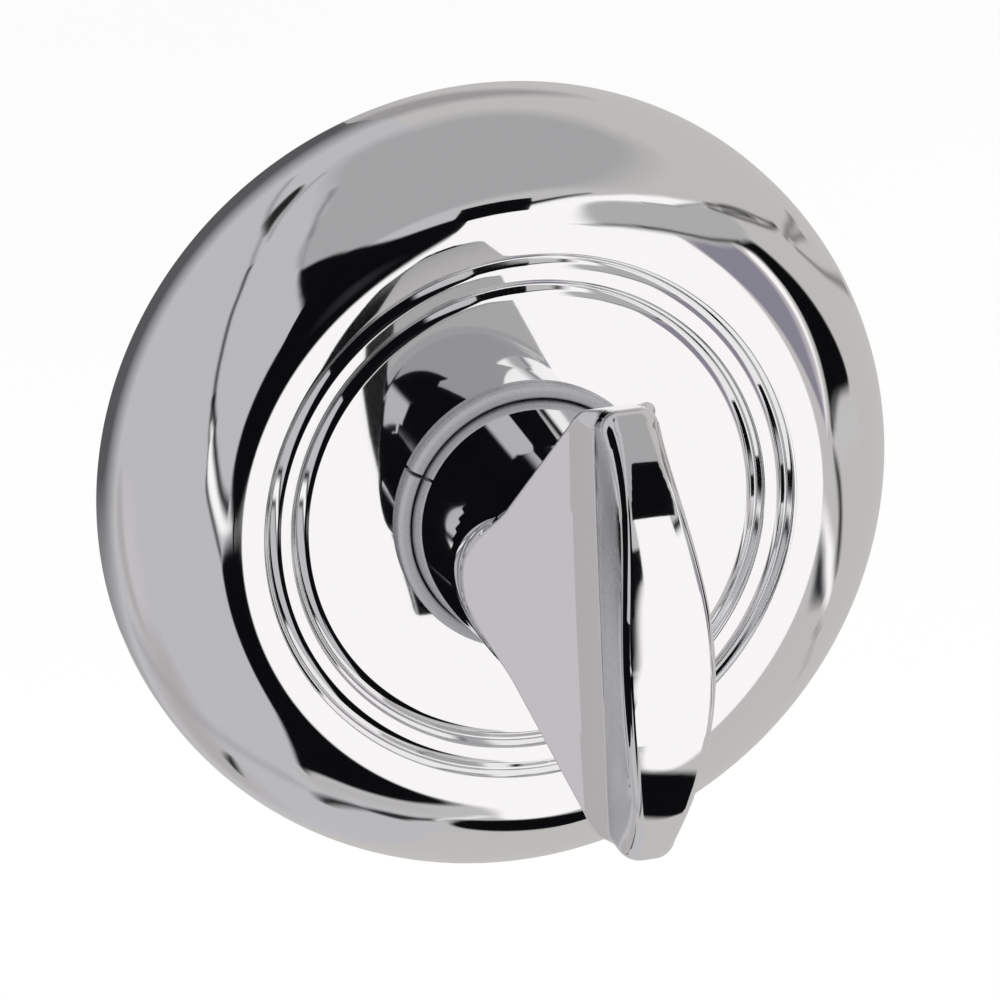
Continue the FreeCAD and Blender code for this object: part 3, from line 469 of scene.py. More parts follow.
def patch(low, high, left, right):
    """Fill a four-sided patch from its edges: each point is the sum of the two ways across, less the
    blend of the four corners. low and high run along u, left and right along v."""
    u = np.cumsum(np.r_[0.0, np.linalg.norm(np.diff(low, axis=0), axis=1)])
    u = (u / u[-1])[:, None, None]
    v = np.cumsum(np.r_[0.0, np.linalg.norm(np.diff(left, axis=0), axis=1)])
    v = (v / v[-1])[None, :, None]
    low, high, left, right = low[:, None], high[:, None], left[None], right[None]
    corners = ((1 - u) * (1 - v) * low[0, 0] + u * (1 - v) * low[-1, 0]
               + (1 - u) * v * high[0, 0] + u * v * high[-1, 0])
    return (1 - v) * low + v * high + (1 - u) * left + u * right - corners


along_fold, along_wing, along_end, over_edge, up_neck = 56, 44, 28, 22, 26
heights = np.linspace(0.0, NECK_RADIUS, 4001)
flat_depth = HEEL_DEPTH - (np.sqrt(NECK_RADIUS ** 2 - heights ** 2) - HEEL_HALF) / draft
wing_depth = WING_ROOT + heights * (HEEL_DEPTH - WING_ROOT) / HEEL_HEIGHT
kink = heights[np.nonzero(wing_depth > flat_depth)[0][-1]]


def on_neck(height, depth):
    """Points on the round neck, as (x, depth, z)."""
    return np.stack([np.sqrt(np.maximum(NECK_RADIUS ** 2 - height ** 2, 0.0)), depth, height], axis=-1)


def on_bar(depth, height):
    """Points on the side of the front bar, as (x, depth, z)."""
    return np.stack([bar_half(depth, height), depth, height], axis=-1)


shares = crowd(along_fold, start=False)
kink_turn = math.asin(kink / NECK_RADIUS)
rim_heights = NECK_RADIUS * np.sin(shares * kink_turn)
rim_flat = on_neck(rim_heights, np.interp(rim_heights, heights, flat_depth))
root_turns = kink_turn + crowd(over_edge, end=False) * (math.pi / 2 - kink_turn)
root_heights = NECK_RADIUS * np.sin(root_turns)
rim_root = on_neck(root_heights, WING_ROOT + root_heights * (HEEL_DEPTH - WING_ROOT) / HEEL_HEIGHT)
fold_height = HEEL_HEIGHT + (TIP_HEIGHT - HEEL_HEIGHT) * FOLD_RUN / (TIP_DEPTH - HEEL_DEPTH)
heel, heel_middle = (HEEL_HALF, HEEL_DEPTH, HEEL_HEIGHT), (0.0, HEEL_DEPTH, HEEL_HEIGHT)
fold_end = (FOLD_HALF, FOLD_DEPTH, fold_height)
fold = run((FOLD_HALF, FOLD_DEPTH, 0.0), fold_end, shares)
heel_line = run((HEEL_HALF, HEEL_DEPTH, 0.0), heel, shares)
wing_edge = run(rim_flat[-1], heel, crowd(along_wing))
flat_middle = run(rim_flat[0], heel_line[0], crowd(along_wing))
heel_edge = run(heel, fold_end, crowd(over_edge))
end_way = run((FOLD_DEPTH, fold_height), (TIP_DEPTH, TIP_HEIGHT), crowd(along_end))
end_edge = on_bar(end_way[:, 0], end_way[:, 1])
bar_depths = FOLD_DEPTH + (APEX_DEPTH - FOLD_DEPTH) * crowd(along_end)
bar_middle = on_bar(bar_depths, 0 * bar_depths)
swing = shares * math.asin(TIP_HEIGHT / FRONT_ARC)
front_depth = APEX_DEPTH - FRONT_ARC * (1 - np.cos(swing))
front_edge = on_bar(front_depth, FRONT_ARC * np.sin(swing))
to_middle = crowd(over_edge, end=False)


def to_mirror(edge):
    """The patch from an edge straight across to the mirror plane, where x is 0."""
    middle = edge * np.array([0.0, 1.0, 1.0])
    return patch(edge, middle, run(edge[0], middle[0], to_middle), run(edge[-1], middle[-1], to_middle))


patches = [
    patch(rim_flat, heel_line, flat_middle, wing_edge),
    patch(heel_line, fold, run(heel_line[0], fold[0], crowd(over_edge)), heel_edge),
    patch(fold, front_edge, bar_middle, end_edge),
    to_mirror(front_edge),
    to_mirror(end_edge),
    to_mirror(heel_edge),
    patch(wing_edge, run(rim_root[-1], heel_middle, crowd(along_wing)), rim_root,
          run(heel, heel_middle, to_middle)),
]
for grid in patches:
    settle(grid, 6)
neck_top = np.concatenate([patches[0][:, 0], patches[6][0, 1:]])
foot_radius = NECK_RADIUS + NECK_FLARE
neck_foot = neck_top.copy()
neck_foot[:, 1] = SHOULDER_DEPTH + FOOT_CHAMFER
neck_angles = np.arctan2(neck_top[:, 2], neck_top[:, 0])
neck_foot[:, 0], neck_foot[:, 2] = foot_radius * np.cos(neck_angles), foot_radius * np.sin(neck_angles)
lift = crowd(up_neck, start=False)[None, :, None]
neck_grid = neck_foot[:, None] * (1 - lift) + neck_top[:, None] * lift
settle(neck_grid[:, 1:], 4)
patches.append(neck_grid)

shank_rings = [(foot_radius, SHOULDER_DEPTH + FOOT_CHAMFER), (foot_radius - FOOT_CHAMFER, SHOULDER_DEPTH),
               (SHANK_RADIUS, SHOULDER_DEPTH), (SHANK_RADIUS, CLIP_FRONT), (CLIP_GROOVE_RADIUS, CLIP_FRONT),
               (CLIP_GROOVE_RADIUS, CLIP_BACK), (SHANK_RADIUS, CLIP_BACK),
               (SHANK_RADIUS, SHANK_END + SHANK_CHAMFER), (SHANK_RADIUS - SHANK_CHAMFER, SHANK_END)]
circle = np.stack([np.cos(neck_angles), np.sin(neck_angles)], axis=-1)
square = circle * (SOCKET_HALF / np.abs(circle).max(axis=1))[:, None]
rings = [np.stack([radius * circle[:, 0], np.full(len(circle), depth), radius * circle[:, 1]], axis=-1)
         for radius, depth in shank_rings]
rings += [np.stack([square[:, 0] * share, np.full(len(circle), depth), square[:, 1] * share], axis=-1)
          for depth, share in ((SHANK_END, 1.0), (SOCKET_DEPTH, 1.0), (SOCKET_DEPTH, 0.0))]
patches.append(np.stack(rings, axis=1)[:, ::-1])


def mirrored_mesh(grids):
    """Join the patches of one quarter, mirror it in x and in z, and merge the points that meet.

    A copy that is mirrored once has its faces turned over, so that all four show the same side."""
    points, faces, base = [], [], 0
    for grid in grids:
        quads = grid_faces(*grid.shape[:2])
        flat = grid.reshape(-1, 3) * np.array([1, -1, 1])
        for sign_x in (1, -1):
            for sign_z in (1, -1):
                points.append(flat * np.array([sign_x, 1, sign_z]))
                faces.append((quads if sign_x * sign_z > 0 else quads[:, ::-1]) + base)
                base += len(flat)
    points, faces = np.concatenate(points), np.concatenate(faces)
    first, back_to = np.unique(np.round(points, 4) + 0.0, axis=0, return_index=True, return_inverse=True)[1:]
    return points[first] * MM, back_to.reshape(-1)[faces]


def without_slivers(faces):
    """Turn quads whose corners have merged into triangles, and drop those that have no area."""
    kept = []
    for face in faces.tolist():
        corners = [corner for place, corner in enumerate(face) if corner != face[place - 1]]
        if len(set(corners)) == len(corners) and len(corners) > 2:
            kept.append(corners)
    return kept


turn_points, turn_faces = mirrored_mesh(patches)
turn = mesh_object("chrome_turn", turn_points, without_slivers(turn_faces), TURN_SHARP)
close_up(turn, TURN_WELD)
blade_points = points_of(turn.data) * np.array([1.0, -1.0, 1.0])
slope = turn_gradient(blade_points)
slope = slope / np.maximum(np.linalg.norm(slope, axis=1), 1e-9)[:, None] * np.array([1.0, -1.0, 1.0])
slope[blade_points[:, 1] < SHOULDER_DEPTH + 2 * FOOT_CHAMFER] = 0.0
turn.data.normals_split_custom_set_from_vertices(slope.tolist())

# what the polishing wheel doesn't reach: the bar's sides, from past the fold to short of the front
aside, depth, height = np.abs(blade_points[:, 0]), blade_points[:, 1], np.abs(blade_points[:, 2])
from_front = FRONT_ARC - np.hypot(depth - APEX_DEPTH + FRONT_ARC, height)
from_bar = aside - bar_half(np.maximum(depth, FOLD_DEPTH), height)
hollow = np.clip((depth - FOLD_DEPTH) / HOLLOW_FADE, 0.0, 1.0)
hollow = hollow * np.clip((from_front - HOLLOW_FADE) / HOLLOW_FADE, 0.0, 1.0)
hollow = hollow * np.clip(from_bar / HOLLOW_SKIN + 2.0, 0.0, 1.0)
turn.data.attributes.new("hollow", "FLOAT", "POINT").data.foreach_set("value", hollow)
finish_piece(turn, "turn", polished_chrome("turn_chrome", "hollow"), "chrome_casting", "thumb_turn")

# Base plate: the zinc casting that is screwed to the door under the rose. It is left as cast, a dull
# blue grey with a faint skin of flow marks, and carries everything else.


def bare_metal(name, colour, stained, roughness, grain, depth):
    """Unpolished metal: its colour drifts between two tones, and a fine grain breaks up the shine."""
    finish = Finish(name)
    drift = finish.noise(grain * 0.12, 4.0, 0.6)
    fine = finish.noise(grain, 4.0, 0.6)
    return finish.principled({
        "Base Color": finish.mix(drift, colour, stained),
        "Metallic": 1.0,
        "Roughness": roughness + fine * 0.14,
        "Normal": finish.bump(fine, depth),
    })


def dress(name, material):
    """Give a node that is shown as packed its one finish."""
    piece = nodes[name]
    piece.data.materials.clear()
    piece.data.materials.append(material)


dress("base_plate", bare_metal(
    "cast_zinc", (0.46, 0.47, 0.49, 1.0), (0.56, 0.57, 0.59, 1.0), 0.38, 1600.0, 0.00002))

# Bearing bush: turned from natural acetal rod, a slippery milky white plastic with a satin face. It
# guides the shank, and stays hidden in the hub of the base plate.
dress("bearing_bush", moulded_plastic(
    "natural_acetal", (0.80, 0.79, 0.75, 1.0), (0.84, 0.83, 0.79, 1.0), 0.30))

# Washers, wave washer, snap ring, circlip and roll pin: stamped and bent from spring strip and wire. The
# flat washers are bright zinc plated, the two springs are plain, and circlip and pin are blackened.
plated = bare_metal(
    "zinc_plate", (0.62, 0.63, 0.66, 1.0), (0.70, 0.70, 0.71, 1.0), 0.22, 2400.0, 0.000006)
spring = bare_metal(
    "plain_spring_steel", (0.40, 0.40, 0.41, 1.0), (0.48, 0.47, 0.46, 1.0), 0.30, 2600.0, 0.000006)
blackened = bare_metal(
    "blackened_steel", (0.055, 0.055, 0.06, 1.0), (0.085, 0.08, 0.078, 1.0), 0.42, 2200.0, 0.000008)
for name, material in (("thrust_washer", plated), ("backing_washer", plated), ("wave_washer", spring),
                       ("cover_snap_ring", spring), ("circlip", blackened), ("spindle_roll_pin", blackened)):
    dress(name, material)

# Spindle and sleeve: a drawn square steel bar, zinc plated, with fine drawing lines along it, and the
# black nylon sleeve that fills it out for a larger follower.
drawn = Finish("drawn_bar")
squeezed = drawn.node("ShaderNodeMapping", None, {
    "Vector": drawn.place(), "Scale": (1.0, 0.02, 1.0)}).out("Vector")
lines = drawn.node("ShaderNodeTexNoise", None, {
    "Vector": squeezed, "Scale": 5200.0, "Detail": 3.0}).out("Fac")
dress("spindle", drawn.principled({
    "Base Color": drawn.mix(drawn.noise(180.0), (0.60, 0.61, 0.64, 1.0), (0.70, 0.70, 0.71, 1.0)),
    "Metallic": 1.0,
    "Roughness": 0.22 + lines * 0.16,
    "Normal": drawn.bump(lines, 0.000008),
}))
dress("spindle_sleeve", moulded_plastic(
    "black_nylon", (0.022, 0.022, 0.024, 1.0), (0.034, 0.034, 0.036, 1.0), 0.36))

# Wood screws: cold headed from steel wire, with a cross recess, and zinc plated. Behind each head, which
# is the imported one, the wire carries a thread that is rolled on between two dies and runs to the point.
SCREW_OFFSET, SCREW_NECK, SCREW_TAPER, SCREW_TIP = 12.0208, 0.6, 14.1, 17.1
THREAD_CREST, THREAD_ROOT, THREAD_PITCH, THREAD_RIDGE, POINT_CREST = 1.75, 1.2, 1.6, 0.42, 0.4
THREAD_START, THREAD_FADE, HEAD_MARGIN, HEAD_WELD = 0.8, 1.2, 0.05, 0.001
SCREW_TURNS, SCREW_STEPS, SCREW_SHARP, SCREW_WELD = 40, 220, 50.0, 0.0005


def threaded_shank(around, steps):
    """Points of a thread about the y axis, as (x, y, z) in mm on a grid of steps along by turns around.

    The radius is the root plus a ridge times the thread's height. The ridge is a rounded triangle of the
    share of a turn by which the length, in pitches, is past the angle. Both taper evenly to the point,
    and the first and last rows lie on the axis, which closes the shank.
    """
    along = np.linspace(-SCREW_NECK, SCREW_TIP, steps)
    along = np.concatenate([[-SCREW_NECK], along, [SCREW_TIP]])[:, None]
    angle = (2 * np.pi * np.arange(around) / around)[None, :]
    share = (along / THREAD_PITCH - angle / (2 * np.pi)) % 1.0
    ridge = np.clip(1.0 - np.abs(share - 0.5) * 2 / THREAD_RIDGE, 0.0, 1.0)
    ridge = ridge * ridge * (3 - 2 * ridge)
    begins = np.clip((along - THREAD_START) / THREAD_FADE, 0.0, 1.0)
    taper = np.clip((SCREW_TIP - along) / (SCREW_TIP - SCREW_TAPER), 0.0, 1.0)
    crest = POINT_CREST + (THREAD_CREST - POINT_CREST) * taper
    root = crest + (THREAD_ROOT / THREAD_CREST - 1.0) * crest * begins
    radius = root + (crest - root) * ridge
    radius[0], radius[-1] = 0.0, 0.0
    return np.stack([radius * np.cos(angle), along + 0 * angle, radius * np.sin(angle)], axis=-1)


screws = bmesh.new()
screws.from_mesh(nodes["wood_screws"].data)
bmesh.ops.remove_doubles(screws, verts=screws.verts, dist=HEAD_WELD * MM)
behind = [vertex for vertex in screws.verts if vertex.co.y > (HEAD_MARGIN - SCREW_NECK) * MM]
bmesh.ops.delete(screws, geom=behind, context="VERTS")
bmesh.ops.holes_fill(screws, edges=[edge for edge in screws.edges if edge.is_boundary], sides=0)
heads = bpy.data.meshes.new("screw_heads")
screws.to_mesh(heads)
screws.free()
head_points = points_of(heads)
shank = threaded_shank(SCREW_TURNS, SCREW_STEPS)
steps, around = shank.shape[:2]
shank_index = np.arange(steps * around).reshape(steps, around)
next_index = np.roll(shank_index, -1, axis=1)
shank_faces = np.stack([shank_index[:-1], shank_index[1:], next_index[1:], next_index[:-1]], axis=-1)
shank_points = [shank.reshape(-1, 3) + side * SCREW_OFFSET * np.array([1.0, 0.0, 1.0]) for side in (1, -1)]
screw_points = np.concatenate([head_points] + shank_points) * MM
screw_faces = [list(face.vertices) for face in heads.polygons]
for base in (len(head_points), len(head_points) + steps * around):
    screw_faces += (shank_faces.reshape(-1, 4) + base).tolist()
threaded = mesh_object("threaded_screws", screw_points, screw_faces, SCREW_SHARP)
close_up(threaded, SCREW_WELD)
threaded.data.set_sharp_from_angle(angle=math.radians(SCREW_SHARP))
finish_piece(threaded, "rose", plated, "screw_steel", "wood_screws")

# Studio: a white floor well below the rose under a white room, with one soft lamp from above. The
# chrome has nothing of its own to show, so a tent of pale cloth with dark openings, a window of light
# and black flags hangs round it, seen in reflections alone, as in a photographer's light tent.
TENT_RADIUS, TENT_STEP, TENT_CORNER = 1.2, 0.5, (-180.0, -90.0)
FLOOR_DEPTH, FLOOR_HALF = -0.32, 4.0
LAMP_PLACE, LAMP_SIZE, LAMP_POWER, ROOM_LIGHT = (-0.45, -0.75, 0.95), 0.9, 5.0, 0.95
CLOTH, WARM_CLOTH, CEILING = (0.556, 0.545, 0.560), (0.575, 0.560, 0.542), (0.420, 0.412, 0.418)
DARK, LIGHT, SHADE = (0.004, 0.004, 0.005), (1.06, 1.04, 1.03), (0.27, 0.255, 0.31)

azimuth, elevation = np.meshgrid(np.arange(-180.0, 180.0 + TENT_STEP, TENT_STEP),
                                 np.arange(-90.0, 90.0 + TENT_STEP, TENT_STEP))


def fade(values, low, high):
    """Rise evenly from 0 at the low value to 1 at the high one."""
    return np.clip((values - low) / (high - low), 0.0, 1.0)[..., None]


tent = np.array(CLOTH) + (np.array(WARM_CLOTH) - np.array(CLOTH)) * fade(azimuth, -10.0, 60.0)
seam_height = np.interp(azimuth, [-180, -150, -110, -73, -50, -20, 20, 70, 102, 120, 180],
                        [57, 56, 63, 60, 43, 35, 36, 41, 42, 47, 57])
seam_blur = np.interp(azimuth, [-180, -80, -60, -20, 20, 60, 180], [10, 6, 1.5, 2, 6, 10, 12])
tent = tent + (np.array(CEILING) - tent) * fade((elevation - seam_height) / seam_blur, 0.0, 1.0)


def flowing(points, closed):
    """Round a line of points: each corner is cut at a quarter and three quarters, three times over."""
    points = np.array(points, dtype=float)
    for attempt in range(3):
        after = np.roll(points, -1, axis=0) if closed else points[1:]
        before = points if closed else points[:-1]
        cut = np.stack([before * 0.75 + after * 0.25, before * 0.25 + after * 0.75], axis=1).reshape(-1, 2)
        points = cut if closed else np.concatenate([points[:1], cut, points[-1:]])
    return points


def lay_on(colour, points, closed, width, blur, strength):
    """Lay a colour on the tent along a line or inside a closed outline, with soft edges.

    The cover falls with the distance in degrees to the nearest straight piece of the line. Inside a
    closed one, found by counting crossings, it is whole. Only the part of the tent near it is worked.
    """
    margin = (width + blur) / 2 + TENT_STEP
    low = ((points.min(axis=0) - margin - TENT_CORNER) / TENT_STEP).astype(int).clip(0)
    high = ((points.max(axis=0) + margin - TENT_CORNER) / TENT_STEP).astype(int) + 2
    part = (slice(low[1], high[1]), slice(low[0], high[0]))
    across_tent, up_tent = azimuth[part], elevation[part]
    nearest = np.full(across_tent.shape, 1e9)
    inside = np.zeros(across_tent.shape, dtype=bool)
    for first, last in zip(points, np.roll(points, -1, axis=0) if closed else points[1:]):
        way = last - first
        length = max(float(way @ way), 1e-9)
        travelled = (across_tent - first[0]) * way[0] + (up_tent - first[1]) * way[1]
        share = np.clip(travelled / length, 0.0, 1.0)
        nearest = np.minimum(nearest, np.hypot(across_tent - first[0] - share * way[0],
                                               up_tent - first[1] - share * way[1]))
        if closed and way[1] != 0.0:
            crosses = (first[1] > up_tent) != (last[1] > up_tent)
            inside ^= crosses & (across_tent < first[0] + (up_tent - first[1]) * way[0] / way[1])
    reach = np.where(inside, -nearest, nearest)
    tent[part] += (np.array(colour) - tent[part]) * fade(width / 2 - reach, -blur / 2, blur / 2) * strength


def hang(colour, blur, points):
    """Hang a panel in the tent: its colour fills a rounded outline, with an edge as soft as the blur."""
    lay_on(colour, flowing(points, True), True, 0.0, blur, 1.0)


def draw_seam(colour, width, blur, points, strength=1.0):
    """Draw a seam or gap of the tent: a rounded line of one width with soft edges."""
    lay_on(colour, flowing(points, False), False, width, blur, strength)


# the dim corners behind the lens, and the gap over the left cloth with the long fold below it
hang((0.47, 0.455, 0.455), 12.0, [(-172, -42), (-142, -36), (-112, -33), (-106, -44), (-130, -54),
                                  (-160, -56)])
hang((0.105, 0.103, 0.108), 18.0, [(-190, 36), (-160, 36), (-145, 22), (-139, 4), (-138, -12),
                                   (-150, -24), (-190, -26)])
hang((0.36, 0.35, 0.355), 8.0, [(150, 25), (160, 27), (170, 25), (190, 22), (190, 42), (166, 42),
                                (152, 35)])
hang((0.60, 0.575, 0.60), 8.0, [(-122, -9), (-107, -9), (-107, -31), (-122, -31)])
hang((0.47, 0.455, 0.452), 4.0, [(-129, -8), (-121, -8), (-121, -34), (-129, -34)])
draw_seam((0.42, 0.41, 0.42), 5.0, 7.0, [(-142, -33), (-132, -43), (-120, -52), (-100, -64),
                                         (-84, -69)], 0.8)
draw_seam((0.20, 0.19, 0.20), 1.4, 2.2, [(-104, 67.5), (-95, 67), (-90, 66), (-80, 63), (-70, 59.5),
                                         (-60, 54.5)], 0.8)
draw_seam((0.28, 0.27, 0.28), 0.7, 1.6, [(-62, 55.6), (-55, 50.8), (-50, 46.4), (-45, 42),
                                         (-40, 37)], 0.8)
hang((0.02, 0.02, 0.02), 1.8, [(-139, 54), (-132, 56.5), (-122, 55.5), (-112, 52.6), (-102, 50.5),
                               (-112, 49.8), (-120, 48.4), (-130, 51)])
draw_seam((0.12, 0.12, 0.12), 1.0, 2.4, [(-150, 45), (-138, 47), (-124, 49), (-110, 50.4), (-98, 47.5),
                                         (-88, 44.4)], 0.7)
draw_seam((0.18, 0.18, 0.18), 0.9, 2.0, [(-140, 59), (-126, 57.5), (-112, 54.5), (-98, 51)], 0.7)
draw_seam((0.01, 0.01, 0.01), 1.6, 1.6, [(-89, 44.4), (-85, 42), (-80, 38.9), (-75, 33.9), (-70, 28.9),
                                         (-66, 24.5), (-62.5, 19.5), (-58.8, 14.5), (-57, 12)])
draw_seam(DARK, 1.3, 1.4, [(-58, 13), (-53.8, 5.8), (-51.3, 2), (-47.5, -2), (-45, -6.3), (-40, -9.4),
                           (-35, -12), (-30, -14.4), (-25, -16.8), (-20, -19)])
draw_seam(DARK, 1.7, 1.4, [(-58, 13), (-50, 5.1), (-45, 1.4), (-37.5, -3.4), (-30, -8), (-25, -10.6),
                           (-20, -12.7), (-12.5, -15)])
hang(LIGHT, 1.2, [(-55.6, 9), (-50, 3.4), (-45, -0.8), (-37.5, -5.4), (-30, -9.8), (-20, -14.4),
                  (-12, -16.4), (-2, -18), (-12, -17.3), (-20, -17), (-30, -13), (-37.5, -9.6),
                  (-45, -4.6), (-50, 0.6)])
# the dark opening above left, and the one below it
hang(DARK, 1.5, [(-46.5, 42.6), (-44, 42.4), (-40, 43.2), (-35, 43.4), (-30, 42.8), (-25, 41.5),
                 (-20, 39.5), (-15, 36.2), (-10, 32.4), (-5, 28.2), (0, 25), (6, 23.2), (12, 22.6),
                 (18, 25.6), (24, 30), (30, 33.2), (36, 35.6), (30, 32), (24, 28), (18, 22.4), (14, 18.5),
                 (11, 13), (9.8, 6), (9.4, -2), (9.8, -11), (11, -16.5), (11.6, -18.6), (-3, -18.6),
                 (-12.5, -13), (-16, -7), (-17, -2), (-17.6, 6), (-18, 12), (-20, 17), (-25, 22.6),
                 (-30, 27.6), (-35, 31.6), (-40, 36.4), (-44.6, 40.8)])
hang((0.030, 0.031, 0.034), 6.0, [(-3, 5), (0, 6), (4, 2), (3, -3), (0, -2)])
hang(DARK, 1.8, [(-21, -18), (11.6, -18.6), (10.4, -21), (8.6, -26), (11, -31), (12, -37), (8, -43),
                 (2, -49), (-7, -53.5), (-15, -56.2), (-25, -58.6), (-35, -60.8), (-45, -63.4),
                 (-54, -66.4), (-50, -62.8), (-42, -59), (-35, -55), (-30, -51.6), (-25, -47.6),
                 (-17.5, -40.4), (-14.6, -36), (-14.2, -31), (-17.6, -25)])
# the window of light, its arched head, and the panes beside it
hang(LIGHT, 1.8, [(11, 13), (9.6, 6), (9.2, -2), (9.4, -11), (9.6, -18), (8.8, -23), (9.6, -29),
                  (13, -34), (14.6, -42), (16, -52), (20, -57), (30, -56), (33, -50), (33, -36),
                  (31, -24), (30, -16), (31, -8), (33, 2), (32, 8), (26, 3), (20, -2), (21, 6), (24, 17),
                  (26.7, 22.7), (32, 26.7), (40, 29.3), (46.7, 30.7), (53.3, 31.5), (60, 32.2),
                  (68, 32.2), (75, 31.4), (70, 33), (66, 34), (60, 35.8), (53.3, 37), (46.7, 36.2),
                  (40, 34.2), (30.7, 31), (24, 27), (18, 21.5)])
hang((0.46, 0.455, 0.46), 2.4, [(24, 18), (26.7, 22.7), (32, 26.7), (40, 29.3), (46.7, 30.7),
                                (53.3, 31.5), (60, 32.2), (68, 32), (75, 30.5), (80, 26), (78, 21.6),
                                (67, 20.7), (60, 19.4), (53.3, 17.4), (44, 14.2), (38.7, 12), (32, 8.8),
                                (26.7, 4.6), (22.7, 0.6), (19, -3.6), (20, 4), (22, 12)])
hang(SHADE, 2.4, [(33, 7.4), (38.7, 11), (44, 13.2), (53.3, 16.6), (59, 18.4), (60.6, 14), (60, 8),
                  (57, 1), (52, -5), (47, -11), (46, -16), (42, -14), (37, -11), (34, -6), (31.5, 1)])
hang((0.50, 0.48, 0.53), 5.0, [(60.5, 15), (60, 8), (57, 1), (52, -5), (48, -10), (46, -14), (50, -10),
                               (55, -4), (60, 2), (63, 10)])
hang(LIGHT, 1.8, [(62.6, 17.2), (66, 18.6), (69.4, 17.6), (69.6, 12), (67.6, 6.6), (64, 1), (59, -4.4),
                  (53, -9.6), (48, -13.4), (42, -16), (49, -11.6), (54.6, -6.6), (58.6, -1.6), (61.8, 4),
                  (63, 10)])
hang(DARK, 1.6, [(62, 20), (67, 20.8), (74.7, 21.2), (77.6, 19.4), (80, 16), (85.3, 9.3), (89.3, 2.7),
                 (92.2, -3), (92.6, -7), (90, -8.6), (85, -8.4), (77.3, -8.6), (69.3, -10), (62.7, -12),
                 (57, -14), (49, -15.4), (54, -12), (60, -6.9), (64, -3), (68, 1.6), (70.9, 6.7),
                 (72, 12), (71, 17), (68.6, 19)])
draw_seam((0.01, 0.01, 0.01), 1.0, 1.3, [(26, 5), (32, 9.6), (38.7, 12.7), (44, 14.9), (53.3, 18.2),
                                         (60, 19.9), (68, 20.9)])
draw_seam((0.05, 0.05, 0.06), 0.8, 1.5, [(18.4, -4.6), (20.4, -1), (22.7, 2), (27, 5.8)], 0.85)
draw_seam((0.03, 0.03, 0.035), 0.5, 1.1, [(44, 30.3), (53, 31.6), (62, 32.3), (70, 32.2), (78, 31)], 0.75)
# creases of the right cloth, each with its shadow
draw_seam((0.60, 0.59, 0.60), 5.0, 6.0, [(58, -16), (68, -13.4), (80, -12.5), (92, -12.5)], 0.8)
hang((0.04, 0.04, 0.045), 2.6, [(48, -16.4), (56, -17.6), (64, -22.5), (74, -28), (86, -33), (74, -30.6),
                                (66, -27.4), (58, -22.4), (50, -18.6)])
hang(LIGHT, 1.8, [(30, -20.4), (40, -22), (50, -24.4), (60, -27), (70, -30.6), (80, -32.8), (92, -36.4),
                  (80, -35.2), (70, -33.4), (60, -31), (50, -28.4), (40, -25), (33, -22.6)])
hang((0.03, 0.03, 0.035), 2.2, [(31, -21.8), (38.7, -23.6), (46, -25.8), (54, -28.8), (63, -31.6),
                                (76, -35), (63, -33.6), (54, -32), (46, -29.6), (39, -26)])
draw_seam((0.26, 0.25, 0.26), 1.0, 2.0, [(84, -38.4), (92, -38.8), (99, -38.9)], 0.8)
draw_seam((0.38, 0.37, 0.37), 1.0, 2.4, [(98, -40.4), (106, -41), (114, -41.4)], 0.7)
for leaf in ([(76, 31.2), (80, 30), (86.7, 28.4), (93.3, 24.7), (100, 20), (104.6, 17.2)],
             [(74, 30.4), (82.7, 26.2), (90.7, 22.7), (98.7, 18.6), (104.6, 17.2)],
             [(80, 28.4), (86.7, 26.2), (92, 23.8)],
             [(82, 29.4), (88, 26.8), (94, 22.6)]):
    draw_seam((0.012, 0.012, 0.014), 1.0, 1.3, leaf, 0.9)
for leaf in ([(103.5, 14.8), (113, 12.9), (120, 10), (129, 6.2)],
             [(108, 12.6), (114, 10.6), (120, 7.8), (124, 6)],
             [(105, 12), (110, 7.4), (116, 3.4), (124.6, -0.9), (133, -5), (142, -9.4)]):
    draw_seam((0.07, 0.07, 0.075), 1.0, 1.5, leaf, 0.85)
# the hem near the ground, and what is behind
draw_seam((0.50, 0.49, 0.46), 4.5, 6.0, [(-60, -69), (-40, -66), (-20, -63), (-6, -59), (4, -52)], 0.8)
hang((0.03, 0.03, 0.03), 3.0, [(-106, -74.8), (-90, -73), (-74, -73.4), (-60, -74.6), (-50, -75.4),
                               (-37, -74.8), (-20, -71.4), (-8, -69), (0, -66.4), (6, -61.6), (12, -57),
                               (8, -63), (2, -68.6), (-6, -73), (-14, -77), (-30, -78), (-60, -77.6),
                               (-90, -77)])
draw_seam(LIGHT, 1.6, 2.4, [(14, -50), (12, -55), (8, -60), (5, -65)], 0.8)
hang(DARK, 2.4, [(10, -59), (16, -56), (26, -57), (40, -57.5), (60, -62), (74, -72), (60, -75), (30, -76),
                 (8, -72)])
hang((0.03, 0.03, 0.03), 1.8, [(-154, -51.6), (-146, -51.4), (-138, -53), (-129, -56), (-140, -55.2),
                               (-148, -53.6)])

rows, columns = azimuth.shape
turned, lifted = np.radians(azimuth), np.radians(elevation)
tent_points = TENT_RADIUS * np.stack([np.cos(lifted) * np.sin(turned), -np.cos(lifted) * np.cos(turned),
                                      np.sin(lifted)], axis=-1).reshape(-1, 3)


def reflected_only(piece, finish, colour):
    """Make a stage piece that only mirrors see: it lights nothing, shades nothing and isn't in view."""
    material = finish.surface(finish.node("ShaderNodeEmission", None, {"Color": colour}).out("Emission"))
    material.cycles.emission_sampling = "NONE"
    piece.data.materials.append(material)
    piece.visible_camera = piece.visible_diffuse = piece.visible_shadow = False
    piece.visible_transmission = piece.visible_volume_scatter = False


